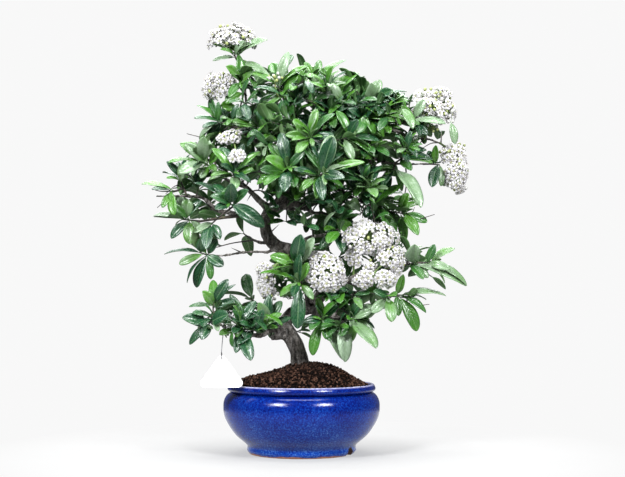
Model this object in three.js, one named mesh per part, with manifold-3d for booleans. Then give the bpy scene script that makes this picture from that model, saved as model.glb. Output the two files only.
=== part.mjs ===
// A firethorn (Pyracantha) bonsai in flower, in its round glazed pot, with a blank label card.
// Millimetres, +Z up. The pot stands on z = 0; x is to the right, y is away from the viewer.

import * as THREE from 'three';
import { mergeVertices } from 'three/addons/utils/BufferGeometryUtils.js';
import loadManifold from 'manifold-3d';

const wasm = await loadManifold();
wasm.setup();

// Pot
const potWidth = 186;
const potHeight = 82;
const lipWidth = 177;
const footWidth = 124;
const footHeight = 10;
const potWall = 5.7;
const underside = 5;
const floorTop = 13;
const potSides = 28;
const drainRadius = 7;
const drainCircle = 28;
const notchWidth = 12;
const notchAzimuth = -27.5;

// Soil
const soilEdge = 79;
const soilGrain = 1.3;
const soilSides = 22;

// Seats
const gap = 0.3;

// Leaves
const leafThickness = 1.3;
const leafClear = 0.2;
const leafTouch = 0.02;
const leafFold = 0.24;
const leafArch = 0.09;
const leafProportion = 0.31;
const leafRings = { near: 0.32, far: 0.7, nearWidth: 0.62 };
const leafBlunt = 0.42;
const leafLength = { least: 27, most: 50, typical: 38 };
const leafSpacing = 1.9;
const leafStretch = 3;
const leafTries = 9;
const twigWidth = { start: 3, end: 2 };

// Flowers
const petals = 5;
const floretRadius = 6.6;
const floretNotch = 0.55;
const floretDepth = 1.8;
const hubShare = 0.4;
const stalkWidth = 2.8;

// Label
const cardWidth = 48;
const cardHeight = 36;
const cardThickness = 0.8;
const cardCorner = 5;
const cardHoleRadius = 1.7;
const cardHoleHeight = 32.4;
const cardFoot = [-95.5, -62, 85];
const wireWidth = 0.9;
const wireBranch = [-93, -48, 157];
const hookReach = [4, 4.4];

// The plant's points are given as they are seen from the front, at x and z on the upright plane
// through the pot's axis, with the depth y behind that plane (in front of it where negative).
const eye = new THREE.Vector3(13, -1400, 180);
const ground = 8;
const goldenAngle = Math.PI * (3 - Math.sqrt(5));

function seen([x, y, z]) {
  const onPlane = new THREE.Vector3(x, 0, z);
  const point = eye.clone().add(onPlane.sub(eye).multiplyScalar(1 + y / -eye.y));
  point.z -= ground;
  return point;
}

// A number from 0 to 1 that depends only on its three keys, so every run gives the same plant.
function chance(a, b, c) {
  const wave = Math.sin(a * 12.9898 + b * 78.233 + c * 37.719) * 43758.5453;
  return wave - Math.floor(wave);
}

// Solids

function toSolid(geometry) {
  const bare = geometry.clone();
  bare.deleteAttribute('normal');
  bare.deleteAttribute('uv');
  const merged = mergeVertices(bare, 1e-4);
  const corners = merged.index.array;
  const kept = [];
  for (let i = 0; i < corners.length; i += 3) {
    const [a, b, c] = [corners[i], corners[i + 1], corners[i + 2]];
    if (a !== b && b !== c && c !== a) kept.push(a, b, c);
  }
  return new wasm.Manifold(new wasm.Mesh({
    numProp: 3,
    vertProperties: Float32Array.from(merged.attributes.position.array),
    triVerts: Uint32Array.from(kept),
  }));
}

function toGeometry(solid) {
  const { vertProperties, triVerts } = solid.getMesh();
  const geometry = new THREE.BufferGeometry();
  geometry.setAttribute('position', new THREE.BufferAttribute(Float32Array.from(vertProperties), 3));
  geometry.setIndex(new THREE.BufferAttribute(Uint32Array.from(triVerts), 1));
  geometry.computeVertexNormals();
  return geometry;
}

function fromFaces(points, faces) {
  const geometry = new THREE.BufferGeometry().setFromPoints(points);
  geometry.setIndex(faces.flat());
  return toSolid(geometry);
}

const join = (solids) => wasm.Manifold.union(solids).simplify(0.05);
const largest = (solid) => solid.decompose().sort((a, b) => b.volume() - a.volume())[0];

// The rings of a round, tapering length of wood through the points, each with its own width.
function limbRings(points, widths, sides, extra = 0) {
  let across = new THREE.Vector3(1, 0, 0);
  return points.map((point, i) => {
    const ahead = points[Math.min(i + 1, points.length - 1)];
    const behind = points[Math.max(i - 1, 0)];
    const along = ahead.clone().sub(behind).normalize();
    if (i === 0 && Math.abs(along.x) > 0.9) across.set(0, 0, 1);
    across = across.clone().addScaledVector(along, -across.dot(along)).normalize();
    const other = new THREE.Vector3().crossVectors(along, across);
    const radius = widths[i] / 2 + extra;
    const centre = point.clone();
    if (extra > 0 && i === points.length - 1) centre.addScaledVector(along, extra);
    const ring = [];
    for (let k = 0; k < sides; k += 1) {
      const turn = (2 * Math.PI * k) / sides;
      const spoke = across.clone().multiplyScalar(Math.cos(turn)).addScaledVector(other, Math.sin(turn));
      ring.push(centre.clone().addScaledVector(spoke, radius));
    }
    return ring;
  });
}

// A skin is a list of points and of faces, each a loop of points seen from outside.
function skinOf(rings) {
  const sides = rings[0].length;
  const faces = [Array.from({ length: sides }, (_, k) => sides - 1 - k)];
  for (let i = 0; i + 1 < rings.length; i += 1) {
    for (let k = 0; k < sides; k += 1) {
      const [near, next] = [sides * i + k, sides * i + ((k + 1) % sides)];
      faces.push([near, next, next + sides, near + sides]);
    }
  }
  const last = sides * (rings.length - 1);
  faces.push(Array.from({ length: sides }, (_, k) => last + k));
  return { points: rings.flat(), faces };
}

function skinSolid({ points, faces }) {
  const corners = [];
  for (const face of faces) {
    for (let k = 1; k + 1 < face.length; k += 1) corners.push([face[0], face[k], face[k + 1]]);
  }
  return fromFaces(points, corners);
}

const limb = (points, widths, sides, extra) => skinSolid(skinOf(limbRings(points, widths, sides, extra)));

function middle(points) {
  const sum = new THREE.Vector3();
  points.forEach((point) => sum.add(point));
  return sum.divideScalar(points.length);
}

// Pot

const bellyRadius = potWidth / 2;
const lipRadius = lipWidth / 2;
const footRadius = footWidth / 2;

function potSolid() {
  const outside = new THREE.SplineCurve([
    new THREE.Vector2(footRadius + 4, footHeight + 1.5),
    new THREE.Vector2(footRadius + 18, 24),
    new THREE.Vector2(bellyRadius - 2, 42),
    new THREE.Vector2(bellyRadius, 56),
    new THREE.Vector2(bellyRadius - 1.4, 64),
    new THREE.Vector2(bellyRadius - 5, 69.5),
    new THREE.Vector2(bellyRadius - 9.5, 72),
  ]).getPoints(6);
  const inside = new THREE.SplineCurve([
    new THREE.Vector2(lipRadius - 8, 76),
    new THREE.Vector2(bellyRadius - potWall, 57),
    new THREE.Vector2(bellyRadius - potWall - 3, 42),
    new THREE.Vector2(footRadius + 13, 26),
    new THREE.Vector2(footRadius - 4, floorTop + 2),
  ]).getPoints(4);
  const profile = [
    new THREE.Vector2(0, underside),
    new THREE.Vector2(footRadius - 9, underside),
    new THREE.Vector2(footRadius - 8, 0),
    new THREE.Vector2(footRadius, 0),
    new THREE.Vector2(footRadius + 3, 4),
    new THREE.Vector2(footRadius + 2, footHeight - 1),
    ...outside,
    new THREE.Vector2(lipRadius - 1.6, 73.6),
    new THREE.Vector2(lipRadius, 76.5),
    new THREE.Vector2(lipRadius - 2.5, potHeight),
    new THREE.Vector2(lipRadius - 6, potHeight - 1),
    ...inside,
    new THREE.Vector2(0, floorTop),
  ];
  const lathe = new THREE.LatheGeometry(profile, potSides).rotateX(Math.PI / 2);
  let pot = toSolid(lathe);

  const arch = new THREE.Shape();
  arch.moveTo(-notchWidth / 2, -1);
  arch.lineTo(notchWidth / 2, -1);
  arch.lineTo(notchWidth / 2, 2);
  arch.lineTo(notchWidth / 4, underside - 0.5);
  arch.lineTo(-notchWidth / 4, underside - 0.5);
  arch.lineTo(-notchWidth / 2, 2);
  const notch = new THREE.ExtrudeGeometry(arch, { depth: 24, bevelEnabled: false });
  notch.rotateX(Math.PI / 2).rotateZ(Math.PI / 2).translate(footRadius - 14, 0, 0);
  for (const azimuth of [notchAzimuth, notchAzimuth + 180]) {
    const turned = notch.clone().rotateZ(THREE.MathUtils.degToRad(azimuth));
    pot = pot.subtract(toSolid(turned));
  }
  for (let k = 0; k < 3; k += 1) {
    const drain = new THREE.CylinderGeometry(drainRadius, drainRadius, 3 * floorTop, 10);
    const turn = (2 * Math.PI * k) / 3;
    drain.rotateX(Math.PI / 2).translate(drainCircle * Math.cos(turn), drainCircle * Math.sin(turn), 0);
    pot = pot.subtract(toSolid(drain));
  }
  return pot;
}

// Soil: it fills the pot and is heaped towards the trunk, with a grainy top. The mound's height is
// given at even steps from the pot's axis out to its wall, on the right and on the left.

const soilRadius = lipRadius - 8.5;
const moundRight = [28, 28, 26.8, 25.5, 22.5, 17.5, 11.5, 5.5, 0.5];
const moundLeft = [28, 26.5, 22.5, 18.5, 15.5, 13, 11, 8, 0.5];

function soilHeight(x, y) {
  const away = Math.min(1, Math.hypot(x, y) / soilRadius);
  const step = away * (moundRight.length - 1);
  const near = Math.min(Math.floor(step), moundRight.length - 2);
  const heightOf = (mound) => THREE.MathUtils.lerp(mound[near], mound[near + 1], step - near);
  const rightness = 0.5 + (0.5 * x) / Math.max(1, Math.hypot(x, y));
  const mound = THREE.MathUtils.lerp(heightOf(moundLeft), heightOf(moundRight), rightness);
  const grain = soilGrain * Math.sin(0.9 * x + 2 * Math.sin(0.31 * y)) * Math.sin(0.8 * y + 0.4 * x);
  return mound + grain * Math.min(1, 6 * (1 - away));
}

function soilSolid() {
  const inside = new THREE.SplineCurve([
    new THREE.Vector2(footRadius - 4.8, floorTop + 2.4),
    new THREE.Vector2(footRadius + 12.2, 26.4),
    new THREE.Vector2(bellyRadius - potWall - 3.6, 42),
    new THREE.Vector2(bellyRadius - potWall - 0.6, 57),
    new THREE.Vector2(soilRadius, 75.8),
  ]).getPoints(4);
  const rings = [0.97, 0.82, 0.66, 0.5, 0.34, 0.18];
  const top = rings.map((share) => new THREE.Vector2(soilRadius * share, soilEdge));
  const profile = [
    new THREE.Vector2(0, floorTop + gap),
    ...inside,
    new THREE.Vector2(soilRadius, soilEdge - 1),
    ...top,
    new THREE.Vector2(0, soilEdge),
  ];
  const lathe = new THREE.LatheGeometry(profile, soilSides).rotateX(Math.PI / 2);
  const place = lathe.attributes.position;
  for (let i = 0; i < place.count; i += 1) {
    const [x, y, z] = [place.getX(i), place.getY(i), place.getZ(i)];
    if (z > soilEdge - 0.5) place.setZ(i, z + soilHeight(x, y));
  }
  return toSolid(lathe);
}

// Wood: each limb is a list of points x, y, z and width, as seen. The first is the trunk.

const LIMBS = [
  [[-1, 0, 70, 22], [-1, 0, 92, 25], [-2, 0, 112, 23], [-4, 0, 126, 20], [-9, 1, 139, 20],
    [-16, 4, 150, 19], [-20, 9, 160, 17], [-15, 15, 170, 16], [-3, 18, 178, 15], [12, 16, 184, 15],
    [23, 10, 195, 15], [26, 6, 209, 15], [20, 2, 225, 15], [6, 0, 239, 15], [-10, 0, 248, 16],
    [-26, 0, 252, 16], [-37, 0, 260, 16], [-43, 0, 272, 14], [-44, 0, 285, 14], [-38, 0, 297, 14],
    [-27, 0, 306, 14], [-21, 0, 320, 13], [-17, 2, 340, 12], [-6, 4, 360, 11], [8, 4, 380, 10],
    [18, 2, 400, 8], [24, 0, 420, 6], [22, -2, 436, 4]],
  [[-16, 2, 146, 9], [-28, -4, 145, 7], [-37, -5, 144, 6]],
  [[-16, 4, 150, 9], [-28, -6, 153, 8], [-38, -12, 153, 7], [-47, -18, 147, 6], [-62, -28, 148, 5],
    [-78, -38, 152, 4.5], [-93, -48, 157, 4], [-104, -50, 167, 3]],
  [[-3, 18, 178, 14], [12, 6, 178, 13], [28, -8, 172, 12], [42, -16, 167, 9], [50, -24, 165, 5]],
  [[36, -12, 170, 6], [46, -16, 184, 5], [59, -20, 194, 4.5], [72, -22, 200, 4.5], [88, -24, 198, 4],
    [104, -24, 194, 3]],
  [[26, 6, 205, 8], [44, -14, 208, 7], [62, -34, 216, 6], [76, -44, 226, 4]],
  [[58, -30, 214, 5], [90, -30, 222, 4], [112, -30, 228, 3.5], [126, -30, 231, 3]],
  [[8, 6, 182, 7], [6, -8, 194, 5], [2, -26, 204, 3.6]],
  [[-30, 0, 254, 6], [-39, -2, 247, 4], [-54, -6, 247, 3.5], [-72, -12, 246, 3.2], [-90, -18, 243, 2.8],
    [-104, -24, 242, 2.4]],
  [[-44, 0, 284, 8], [-64, -6, 290, 6.5], [-86, -10, 294, 6], [-102, -12, 297, 5],
    [-111, -14, 306, 4.5], [-122, -15, 313, 4], [-139, -16, 314, 3.5], [-157, -15, 314, 3],
    [-176, -14, 314, 2.2]],
  [[-70, -6, 291, 5], [-88, -14, 289, 4.5], [-108, -20, 286, 4], [-126, -21, 283, 3]],
  [[-38, 0, 298, 9], [-50, -6, 308, 8], [-58, -12, 316, 7], [-68, -20, 326, 5], [-78, -30, 335, 3.4]],
  [[-68, -18, 325, 5], [-88, -20, 333, 4.2], [-104, -20, 343, 3.4]],
  [[-30, 0, 304, 12], [-14, 4, 303, 12], [4, 6, 302, 12], [12, 6, 301, 8]],
  [[6, 4, 300, 6], [14, 0, 294, 4.5], [26, -8, 294, 3.6]],
  [[-6, 0, 246, 6], [4, -4, 262, 5], [19, -8, 266, 4.5], [34, -12, 268, 3.4]],
  [[-19, 0, 328, 9], [0, -6, 332, 7], [22, -8, 335, 6], [43, -8, 337, 5], [60, -8, 340, 4.5],
    [73, -8, 344, 4.2], [79, -8, 352, 4], [87, -8, 359, 4], [101, -8, 355, 3.5], [125, -6, 353, 3.2],
    [148, -2, 353, 2.6]],
  [[22, -8, 335, 5], [44, -12, 322, 4.5], [66, -16, 310, 3.6], [80, -18, 305, 3]],
  [[14, 3, 390, 7], [34, 0, 394, 6], [56, -4, 396, 5.5], [80, -6, 396, 5], [100, -6, 395, 4.5],
    [118, -6, 392, 4], [129, -6, 385, 3.5], [150, -3, 384, 3], [168, 0, 378, 2.4]],
  [[100, -6, 395, 4], [120, -8, 402, 3.4], [138, -8, 410, 2.6]],
  [[-12, 3, 352, 7], [-30, 2, 366, 6], [-50, 0, 378, 5], [-67, -2, 389, 4.5], [-67, -2, 412, 4],
    [-68, -2, 438, 3.5], [-71, -2, 462, 3], [-76, -2, 478, 2.6]],
  [[-52, 0, 379, 4], [-70, -4, 393, 3.4], [-86, -6, 400, 2.8]],
  [[8, 4, 380, 5], [-8, -4, 404, 4], [-20, -12, 428, 3]],
  [[34, 0, 394, 5], [56, -10, 408, 4], [76, -18, 419, 3]],
  [[8, 4, 378, 6], [6, -24, 378, 4.8], [8, -50, 380, 3.6]],
  [[-19, 0, 328, 7], [-6, -24, 330, 5.5], [8, -50, 334, 4]],
  [[-17, 2, 338, 7], [-12, 30, 346, 5], [-2, 52, 351, 3.6]],
  [[8, 4, 380, 6.5], [16, 34, 392, 4.6], [22, 54, 402, 3.6]],
  [[-58, -10, 316, 5], [-68, 20, 324, 4.2], [-80, 44, 330, 3.2]],
  [[4, 6, 302, 8], [26, 24, 310, 5.6], [48, 46, 320, 4]],
  [[26, 6, 207, 8], [38, 34, 206, 5], [47, 54, 210, 3.6]],
  [[-37, 0, 260, 7], [-48, 28, 258, 4.6], [-58, 46, 261, 3.4]],
  [[24, 0, 418, 5], [2, 26, 432, 3.6], [-10, 40, 439, 3]],
  [[80, -6, 396, 4.5], [92, 20, 398, 3.2]],
  [[-102, -12, 297, 4.5], [-108, 20, 299, 3.2]],
  [[-50, 0, 378, 4.5], [-50, 36, 389, 3.2]],
  [[-20, 9, 160, 7], [-36, 26, 173, 4.4], [-50, 37, 183, 3]],
  [[20, 2, 225, 6], [34, 28, 233, 3.8]],
];

function limbSides(widest) {
  if (widest >= 15) return 7;
  if (widest >= 9) return 5;
  return widest > 5 ? 4 : 3;
}

const limbs = LIMBS.map((rows) => {
  const points = rows.map(seen);
  const widths = rows.map((row) => row[3]);
  const sides = limbSides(Math.max(...widths));
  return { points, widths, sides };
});
const trunk = limbs[0];

const limbSolids = limbs.map(({ points, widths, sides }) => limb(points, widths, sides));
const limbClear = limbs.map(({ points, widths, sides }) => {
  const clear = gap / Math.cos(Math.PI / sides);
  return limb(points, widths, sides, clear);
});
const woodSolid = join(limbSolids);
const woodClear = join(limbClear);

// Flower heads: domed heads of five-petalled florets on stalks. Each dome has a centre, a facing,
// its half width, half length and height, and its number of florets.

const HEADS = [
  { name: 'flower_head_top', stalk: [[-76, -2, 476], [-79, -2, 490], [-83, -2, 502]],
    domes: [{ at: [-83, -2, 500], facing: [0, -0.25, 1], size: [27, 27, 25], florets: 15 }] },
  { name: 'flower_head_upper_left', stalk: [[-68, -2, 444], [-82, -2, 448], [-96, -4, 449]],
    domes: [{ at: [-97, -4, 449], facing: [-0.7, -0.7, 0.25], size: [17, 18, 12], florets: 8 }] },
  { name: 'flower_buds_upper_left', stalk: [[-17, -10, 421], [-30, -20, 438], [-33, -22, 456]],
    domes: [{ at: [-33, -22, 455], facing: [0, -0.5, 1], size: [12, 9, 9], florets: 4 }] },
  { name: 'flower_head_left', stalk: [[-76, -5, 396], [-84, -24, 390], [-87, -38, 385]],
    domes: [{ at: [-87, -36, 385], facing: [-0.2, -1, 0.3], size: [15, 10, 8], florets: 5 },
      { at: [-79, -36, 364], facing: [0, -1, 0.2], size: [8, 7, 6], florets: 2 }] },
  { name: 'flower_head_low_left', stalk: [[-10, 0, 248], [-30, -14, 232], [-42, -16, 214]],
    domes: [{ at: [-42, -14, 211], facing: [-0.6, -0.7, 0], size: [13, 19, 10], florets: 7 }] },
  { name: 'flower_head_middle', stalk: [[22, 2, 215], [26, -24, 220], [27, -44, 224]],
    domes: [{ at: [27, -42, 224], facing: [-0.15, -1, 0.25], size: [23, 22, 14], florets: 11 }] },
  { name: 'flower_head_right_upper', stalk: [[62, -34, 216], [64, -42, 240], [76, -48, 264]],
    domes: [{ at: [77, -48, 265], facing: [0, -1, 0.5], size: [25, 20, 15], florets: 10 },
      { at: [63, -46, 242], facing: [-0.4, -1, 0.1], size: [13, 12, 9], florets: 4 }] },
  { name: 'flower_head_right_lower', stalk: [[76, -44, 226], [84, -50, 219], [88, -50, 214]],
    domes: [{ at: [75, -51, 213], facing: [-0.2, -1, -0.2], size: [13, 12, 9], florets: 4 },
      { at: [101, -52, 216], facing: [0.3, -1, -0.1], size: [13, 12, 9], florets: 4 },
      { at: [107, -48, 241], facing: [0.3, -1, 0.2], size: [18, 15, 11], florets: 6 }] },
  { name: 'flower_head_upper_right', stalk: [[134, -8, 408], [146, -6, 416], [156, -5, 422]],
    domes: [{ at: [158, -5, 423], facing: [0.35, -0.6, 0.75], size: [25, 19, 13], florets: 11 }] },
  { name: 'flower_head_far_right', stalk: [[166, 0, 379], [178, 1, 370], [184, 2, 356]],
    domes: [{ at: [186, 2, 350], facing: [0.5, -0.8, 0.15], size: [17, 29, 12], florets: 12 }] },
  { name: 'flower_buds_right', stalk: [[148, -3, 384], [152, -10, 392], [154, -14, 396]],
    domes: [{ at: [154, -13, 396], facing: [0.1, -0.8, 0.6], size: [12, 8, 7], florets: 4 }] },
];

// A head's own directions: across, along and outwards.
function axesOf(facing) {
  const out = new THREE.Vector3(...facing).normalize();
  const across = new THREE.Vector3(-out.y, out.x, 0);
  if (across.length() < 0.3) across.set(1, 0, 0);
  across.addScaledVector(out, -across.dot(out)).normalize();
  const along = new THREE.Vector3().crossVectors(out, across);
  return { across, along, out };
}

function inHead(centre, axes, a, b, c) {
  return centre.clone()
    .addScaledVector(axes.across, a)
    .addScaledVector(axes.along, b)
    .addScaledVector(axes.out, c);
}

// A floret grows from a three-cornered face of its head: a shallow star of five petals round a cup.
function growFloret(skin, face, centre, out) {
  const axes = axesOf(out.toArray());
  const first = skin.points[face[0]].clone().sub(centre);
  const turn = Math.atan2(first.dot(axes.along), first.dot(axes.across));
  const rim = skin.points.length;
  const corners = 2 * petals;
  for (let k = 0; k < corners; k += 1) {
    const isTip = k % 2 === 0;
    const angle = turn + (Math.PI * (k - 1.5)) / petals;
    const reach = isTip ? floretRadius : floretRadius * floretNotch;
    const lift = isTip ? floretDepth : 0.3 * floretDepth;
    skin.points.push(inHead(centre, axes, reach * Math.cos(angle), reach * Math.sin(angle), lift));
  }
  skin.points.push(centre);
  const nearest = (k) => face[Math.floor((3 * k) / corners)];
  for (let k = 0; k < corners; k += 1) {
    const after = (k + 1) % corners;
    const [near, next] = [rim + k, rim + after];
    const [a, b] = [nearest(k), nearest(after)];
    skin.faces.push(a === b ? [a, next, near] : [a, b, next, near], [near, next, rim + corners]);
  }
}

// A dome of florets: each grows from the nearest free face of a small hub at the dome's centre.
function domeSkin(dome) {
  const centre = seen(dome.at);
  const axes = axesOf(dome.facing);
  const [wide, long, high] = dome.size;
  const bare = new THREE.IcosahedronGeometry(1, dome.florets > 12 ? 1 : 0);
  bare.deleteAttribute('normal');
  bare.deleteAttribute('uv');
  const hub = mergeVertices(bare, 1e-4);
  const unit = [];
  for (let i = 0; i < hub.attributes.position.count; i += 1) {
    unit.push(new THREE.Vector3().fromBufferAttribute(hub.attributes.position, i));
  }
  const points = unit.map(({ x, y, z }) => (
    inHead(centre, axes, x * hubShare * wide, y * hubShare * long, z > 0 ? z * hubShare * high : 2.5 * z)
  ));
  let free = [];
  for (let i = 0; i < hub.index.count; i += 3) free.push([0, 1, 2].map((k) => hub.index.getX(i + k)));
  const skin = { points, faces: [] };
  for (let k = 0; k < dome.florets; k += 1) {
    const height = 1 - (0.94 * (k + 0.3)) / dome.florets;
    const spread = Math.sqrt(1 - height * height);
    const angle = goldenAngle * k + dome.at[0];
    const way = new THREE.Vector3(spread * Math.cos(angle), spread * Math.sin(angle), height);
    const nearest = (face) => -middle(face.map((corner) => unit[corner])).normalize().dot(way);
    free.sort((one, other) => nearest(one) - nearest(other));
    const at = inHead(centre, axes, way.x * (wide - 3), way.y * (long - 3), height * (high - floretDepth));
    const out = inHead(new THREE.Vector3(), axes, way.x / wide, way.y / long, (height + 0.35) / high);
    growFloret(skin, free[0], at, out.normalize());
    free = free.slice(1);
  }
  skin.faces.push(...free);
  return skin;
}

function headSolid(head) {
  const points = head.stalk.map(seen);
  const solids = [limb(points, points.map(() => stalkWidth), 3)];
  head.domes.forEach((dome, i) => {
    solids.push(skinSolid(domeSkin(dome)));
    if (i === 0) return;
    solids.push(limb([points[1], seen(dome.at)], [stalkWidth, stalkWidth], 3));
  });
  return largest(join(solids).subtract(woodClear));
}

// Leafy sprays: each rosette has a twig, the tips of its seen leaves as x, z and width (and, where
// it matters, the depth of the tip in front of or behind the twig), and a number of further leaves.

const SPRAYS = [
  { name: 'spray_top_left',
    rosettes: [
      { twig: [[-74, -2, 472], [-80, -9, 482], [-82, -12, 490]],
        tips: [[-42, 504, 9], [-99, 493, 6], [-70, 503, 10], [-108, 479, 7], [-57, 462, 9]],
        more: 1 },
    ] },
  { name: 'spray_upper_left',
    rosettes: [
      { twig: [[-67, -2, 436], [-76, -14, 448], [-74, -18, 456]],
        tips: [[-92, 472, 11], [-88, 434, 9], [-49, 434, 8], [-60, 464, 9]],
        more: 1 },
      { twig: [[-70, -7, 440], [-74, 10, 424], [-76, 14, 416]],
        tips: [[-98, 424, 12]],
        more: 1 },
    ] },
  { name: 'spray_upper_inner',
    rosettes: [
      { twig: [[-18, -10, 424], [-26, -14, 440], [-29, -16, 449]],
        tips: [[-16, 490, 9], [7, 471, 9], [-63, 462, 9], [-30, 450, 9, 30], [-58, 410, 9],
          [-12, 430, 9]],
        more: 1 },
    ] },
  { name: 'spray_left_high',
    rosettes: [
      { twig: [[-84, -6, 399], [-96, -6, 403], [-103, -6, 404]],
        tips: [[-101, 429, 7], [-127, 424, 6], [-129, 409, 7], [-120, 398, 5], [-124, 384, 6],
          [-109, 381, 11], [-84, 427, 7]],
        more: 1 },
    ] },
  { name: 'spray_left_inner',
    rosettes: [
      { twig: [[-34, 2, 368], [-42, -18, 384], [-52, -36, 398]],
        tips: [[-84, 405, 9], [-28, 404, 8], [-28, 378, 8], [-50, 426, 9], [-66, 385, 8], [-39, 370, 12]],
        more: 1 },
    ] },
  { name: 'spray_crown_top',
    rosettes: [
      { twig: [[23, -1, 424], [30, -16, 428], [35, -30, 432]],
        tips: [[6, 463, 10], [36, 462, 10], [62, 446, 9], [70, 468, 11], [54, 414, 9], [14, 416, 9]],
        more: 1 },
      { twig: [[28, -10, 427], [18, -10, 444], [14, -11, 456]],
        tips: [[3, 478, 8], [40, 472, 8], [-12, 462, 9], [22, 480, 8], [52, 480, 7]],
        more: 1 },
    ] },
  { name: 'spray_crown_right',
    rosettes: [
      { twig: [[72, -17, 417], [84, -22, 425], [91, -25, 428]],
        tips: [[110, 443, 12], [127, 441, 7], [95, 456, 9], [84, 452, 12], [123, 411, 11], [62, 432, 9],
          [70, 448, 9]],
        more: 1 },
    ] },
  { name: 'spray_crown_middle',
    rosettes: [
      { twig: [[52, -8, 406], [66, -34, 408], [78, -52, 409]],
        tips: [[116, 417, 8], [116, 404, 8], [90, 428, 9], [56, 420, 9], [99, 386, 10], [66, 392, 9]],
        more: 1 },
    ] },
  { name: 'spray_crown_front',
    rosettes: [
      { twig: [[8, -46, 380], [10, -66, 382], [11, -80, 385]],
        tips: [[18, 420, 9], [40, 414, 8], [-11, 406, 9], [39, 388, 9], [-6, 366, 10], [22, 360, 9],
          [-20, 388, 9]],
        more: 1 },
      { twig: [[10, -62, 382], [38, -62, 382], [60, -62, 385]],
        tips: [[42, 418, 8], [68, 407, 9], [94, 381, 9], [84, 366, 8], [62, 358, 9]],
        more: 1 },
    ] },
  { name: 'spray_front_middle',
    rosettes: [
      { twig: [[6, -46, 333], [17, -66, 337], [26, -84, 341]],
        tips: [[0, 374, 9], [38, 386, 15], [74, 354, 9], [52, 336, 12], [26, 309, 11], [-10, 346, 8],
          [-3, 320, 9], [50, 366, 9]],
        more: 1 },
    ] },
  { name: 'spray_front_left',
    rosettes: [
      { twig: [[-8, -22, 330], [-14, -48, 338], [-17, -72, 348]],
        tips: [[-25, 391, 11], [4, 368, 9], [-40, 378, 11], [-44, 360, 13], [-28, 311, 8],
          [-54, 328, 9], [2, 318, 8], [-50, 346, 10]],
        more: 1 },
    ] },
  { name: 'spray_left_middle',
    rosettes: [
      { twig: [[-74, -26, 332], [-80, -38, 338], [-83, -46, 342]],
        tips: [[-50, 368, 8], [-70, 378, 9], [-104, 367, 9], [-98, 352, 8], [-58, 346, 9],
          [-80, 322, 11], [-112, 334, 8]],
        more: 1 },
    ] },
  { name: 'spray_left_outer',
    rosettes: [
      { twig: [[-101, -20, 341], [-112, -22, 350], [-119, -24, 357]],
        tips: [[-118, 386, 13], [-147, 342, 12], [-141, 378, 11], [-161, 355, 7], [-103, 344, 8],
          [-122, 336, 9], [-96, 372, 9]],
        more: 1 },
    ] },
  { name: 'spray_left_big_leaf',
    rosettes: [
      { twig: [[-72, -8, 292], [-80, -32, 300], [-87, -50, 306]],
        tips: [[-45, 277, 17, 6], [-85, 330, 13], [-110, 314, 10], [-104, 298, 9], [-130, 330, 8],
          [-64, 322, 10]],
        more: 0 },
      { twig: [[-82, -38, 302], [-98, -38, 290], [-110, -38, 279]],
        tips: [[-115, 250, 12], [-98, 262, 8], [-130, 270, 8]],
        more: 0 },
    ] },
  { name: 'spray_left_tip',
    rosettes: [
      { twig: [[-122, -21, 284], [-134, -20, 285], [-143, -19, 286]],
        tips: [[-138, 311, 13], [-120, 309, 8], [-179, 290, 8], [-160, 307, 9], [-134, 256, 12],
          [-157, 263, 9], [-117, 268, 8]],
        more: 1 },
    ] },
  { name: 'spray_left_shoot',
    rosettes: [
      { twig: [[-138, -16, 314], [-144, -18, 328], [-147, -18, 338]],
        tips: [[-161, 356, 7], [-151, 362, 8], [-132, 352, 8], [-163, 336, 6]],
        more: 1 },
      { twig: [[-143, -17, 324], [-150, -24, 321], [-158, -30, 320]],
        tips: [[-180, 322, 6], [-168, 300, 7]],
        more: 1 },
    ] },
  { name: 'spray_left_hanging',
    rosettes: [
      { twig: [[-100, -23, 242], [-112, -27, 243], [-122, -30, 246]],
        tips: [[-120, 264, 9], [-165, 244, 6], [-147, 232, 9], [-94, 230, 10], [-126, 204, 7],
          [-109, 214, 6], [-101, 262, 9], [-143, 258, 7]],
        more: 1 },
    ] },
  { name: 'spray_low_left_outer',
    rosettes: [
      { twig: [[-102, -50, 165], [-106, -51, 177], [-105, -50, 187]],
        tips: [[-88, 214, 10], [-119, 200, 10], [-135, 181, 6], [-80, 190, 8], [-104, 214, 8]],
        more: 1 },
      { twig: [[-105, -51, 172], [-110, -56, 162], [-112, -60, 158]],
        tips: [[-143, 168, 12], [-134, 136, 8], [-120, 142, 10], [-88, 172, 14]],
        more: 0 },
    ] },
  { name: 'spray_low_left_middle',
    rosettes: [
      { twig: [[-64, -29, 148], [-70, -36, 152], [-74, -42, 158]],
        tips: [[-55, 188, 10], [-74, 184, 8], [-86, 196, 9], [-79, 126, 11], [-64, 112, 12],
          [-98, 150, 8], [-50, 166, 9]],
        more: 1 },
    ] },
  { name: 'spray_low_left_inner',
    rosettes: [
      { twig: [[-38, -12, 153], [-40, -20, 157], [-39, -26, 160]],
        tips: [[-52, 186, 12], [-24, 188, 9], [-38, 196, 8], [-12, 168, 8]],
        more: 1 },
    ] },
  { name: 'spray_trunk_front',
    rosettes: [
      { twig: [[2, -24, 203], [-1, -36, 208], [-4, -46, 210]],
        tips: [[-50, 221, 7], [8, 234, 9], [-26, 193, 9], [-5, 155, 14], [-18, 166, 11], [14, 190, 8]],
        more: 0 },
      { twig: [[0, -33, 207], [-4, -34, 222], [-8, -36, 233]],
        tips: [[-1, 268, 15], [15, 264, 13], [-38, 242, 12], [-22, 252, 12]],
        more: 1 },
    ] },
  { name: 'spray_centre_right',
    rosettes: [
      { twig: [[24, -7, 294], [34, -18, 291], [44, -28, 288]],
        tips: [[66, 306, 12], [60, 266, 12], [48, 320, 9], [24, 314, 9]],
        more: 0 },
      { twig: [[36, -20, 290], [40, -20, 280], [43, -20, 270]],
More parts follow.
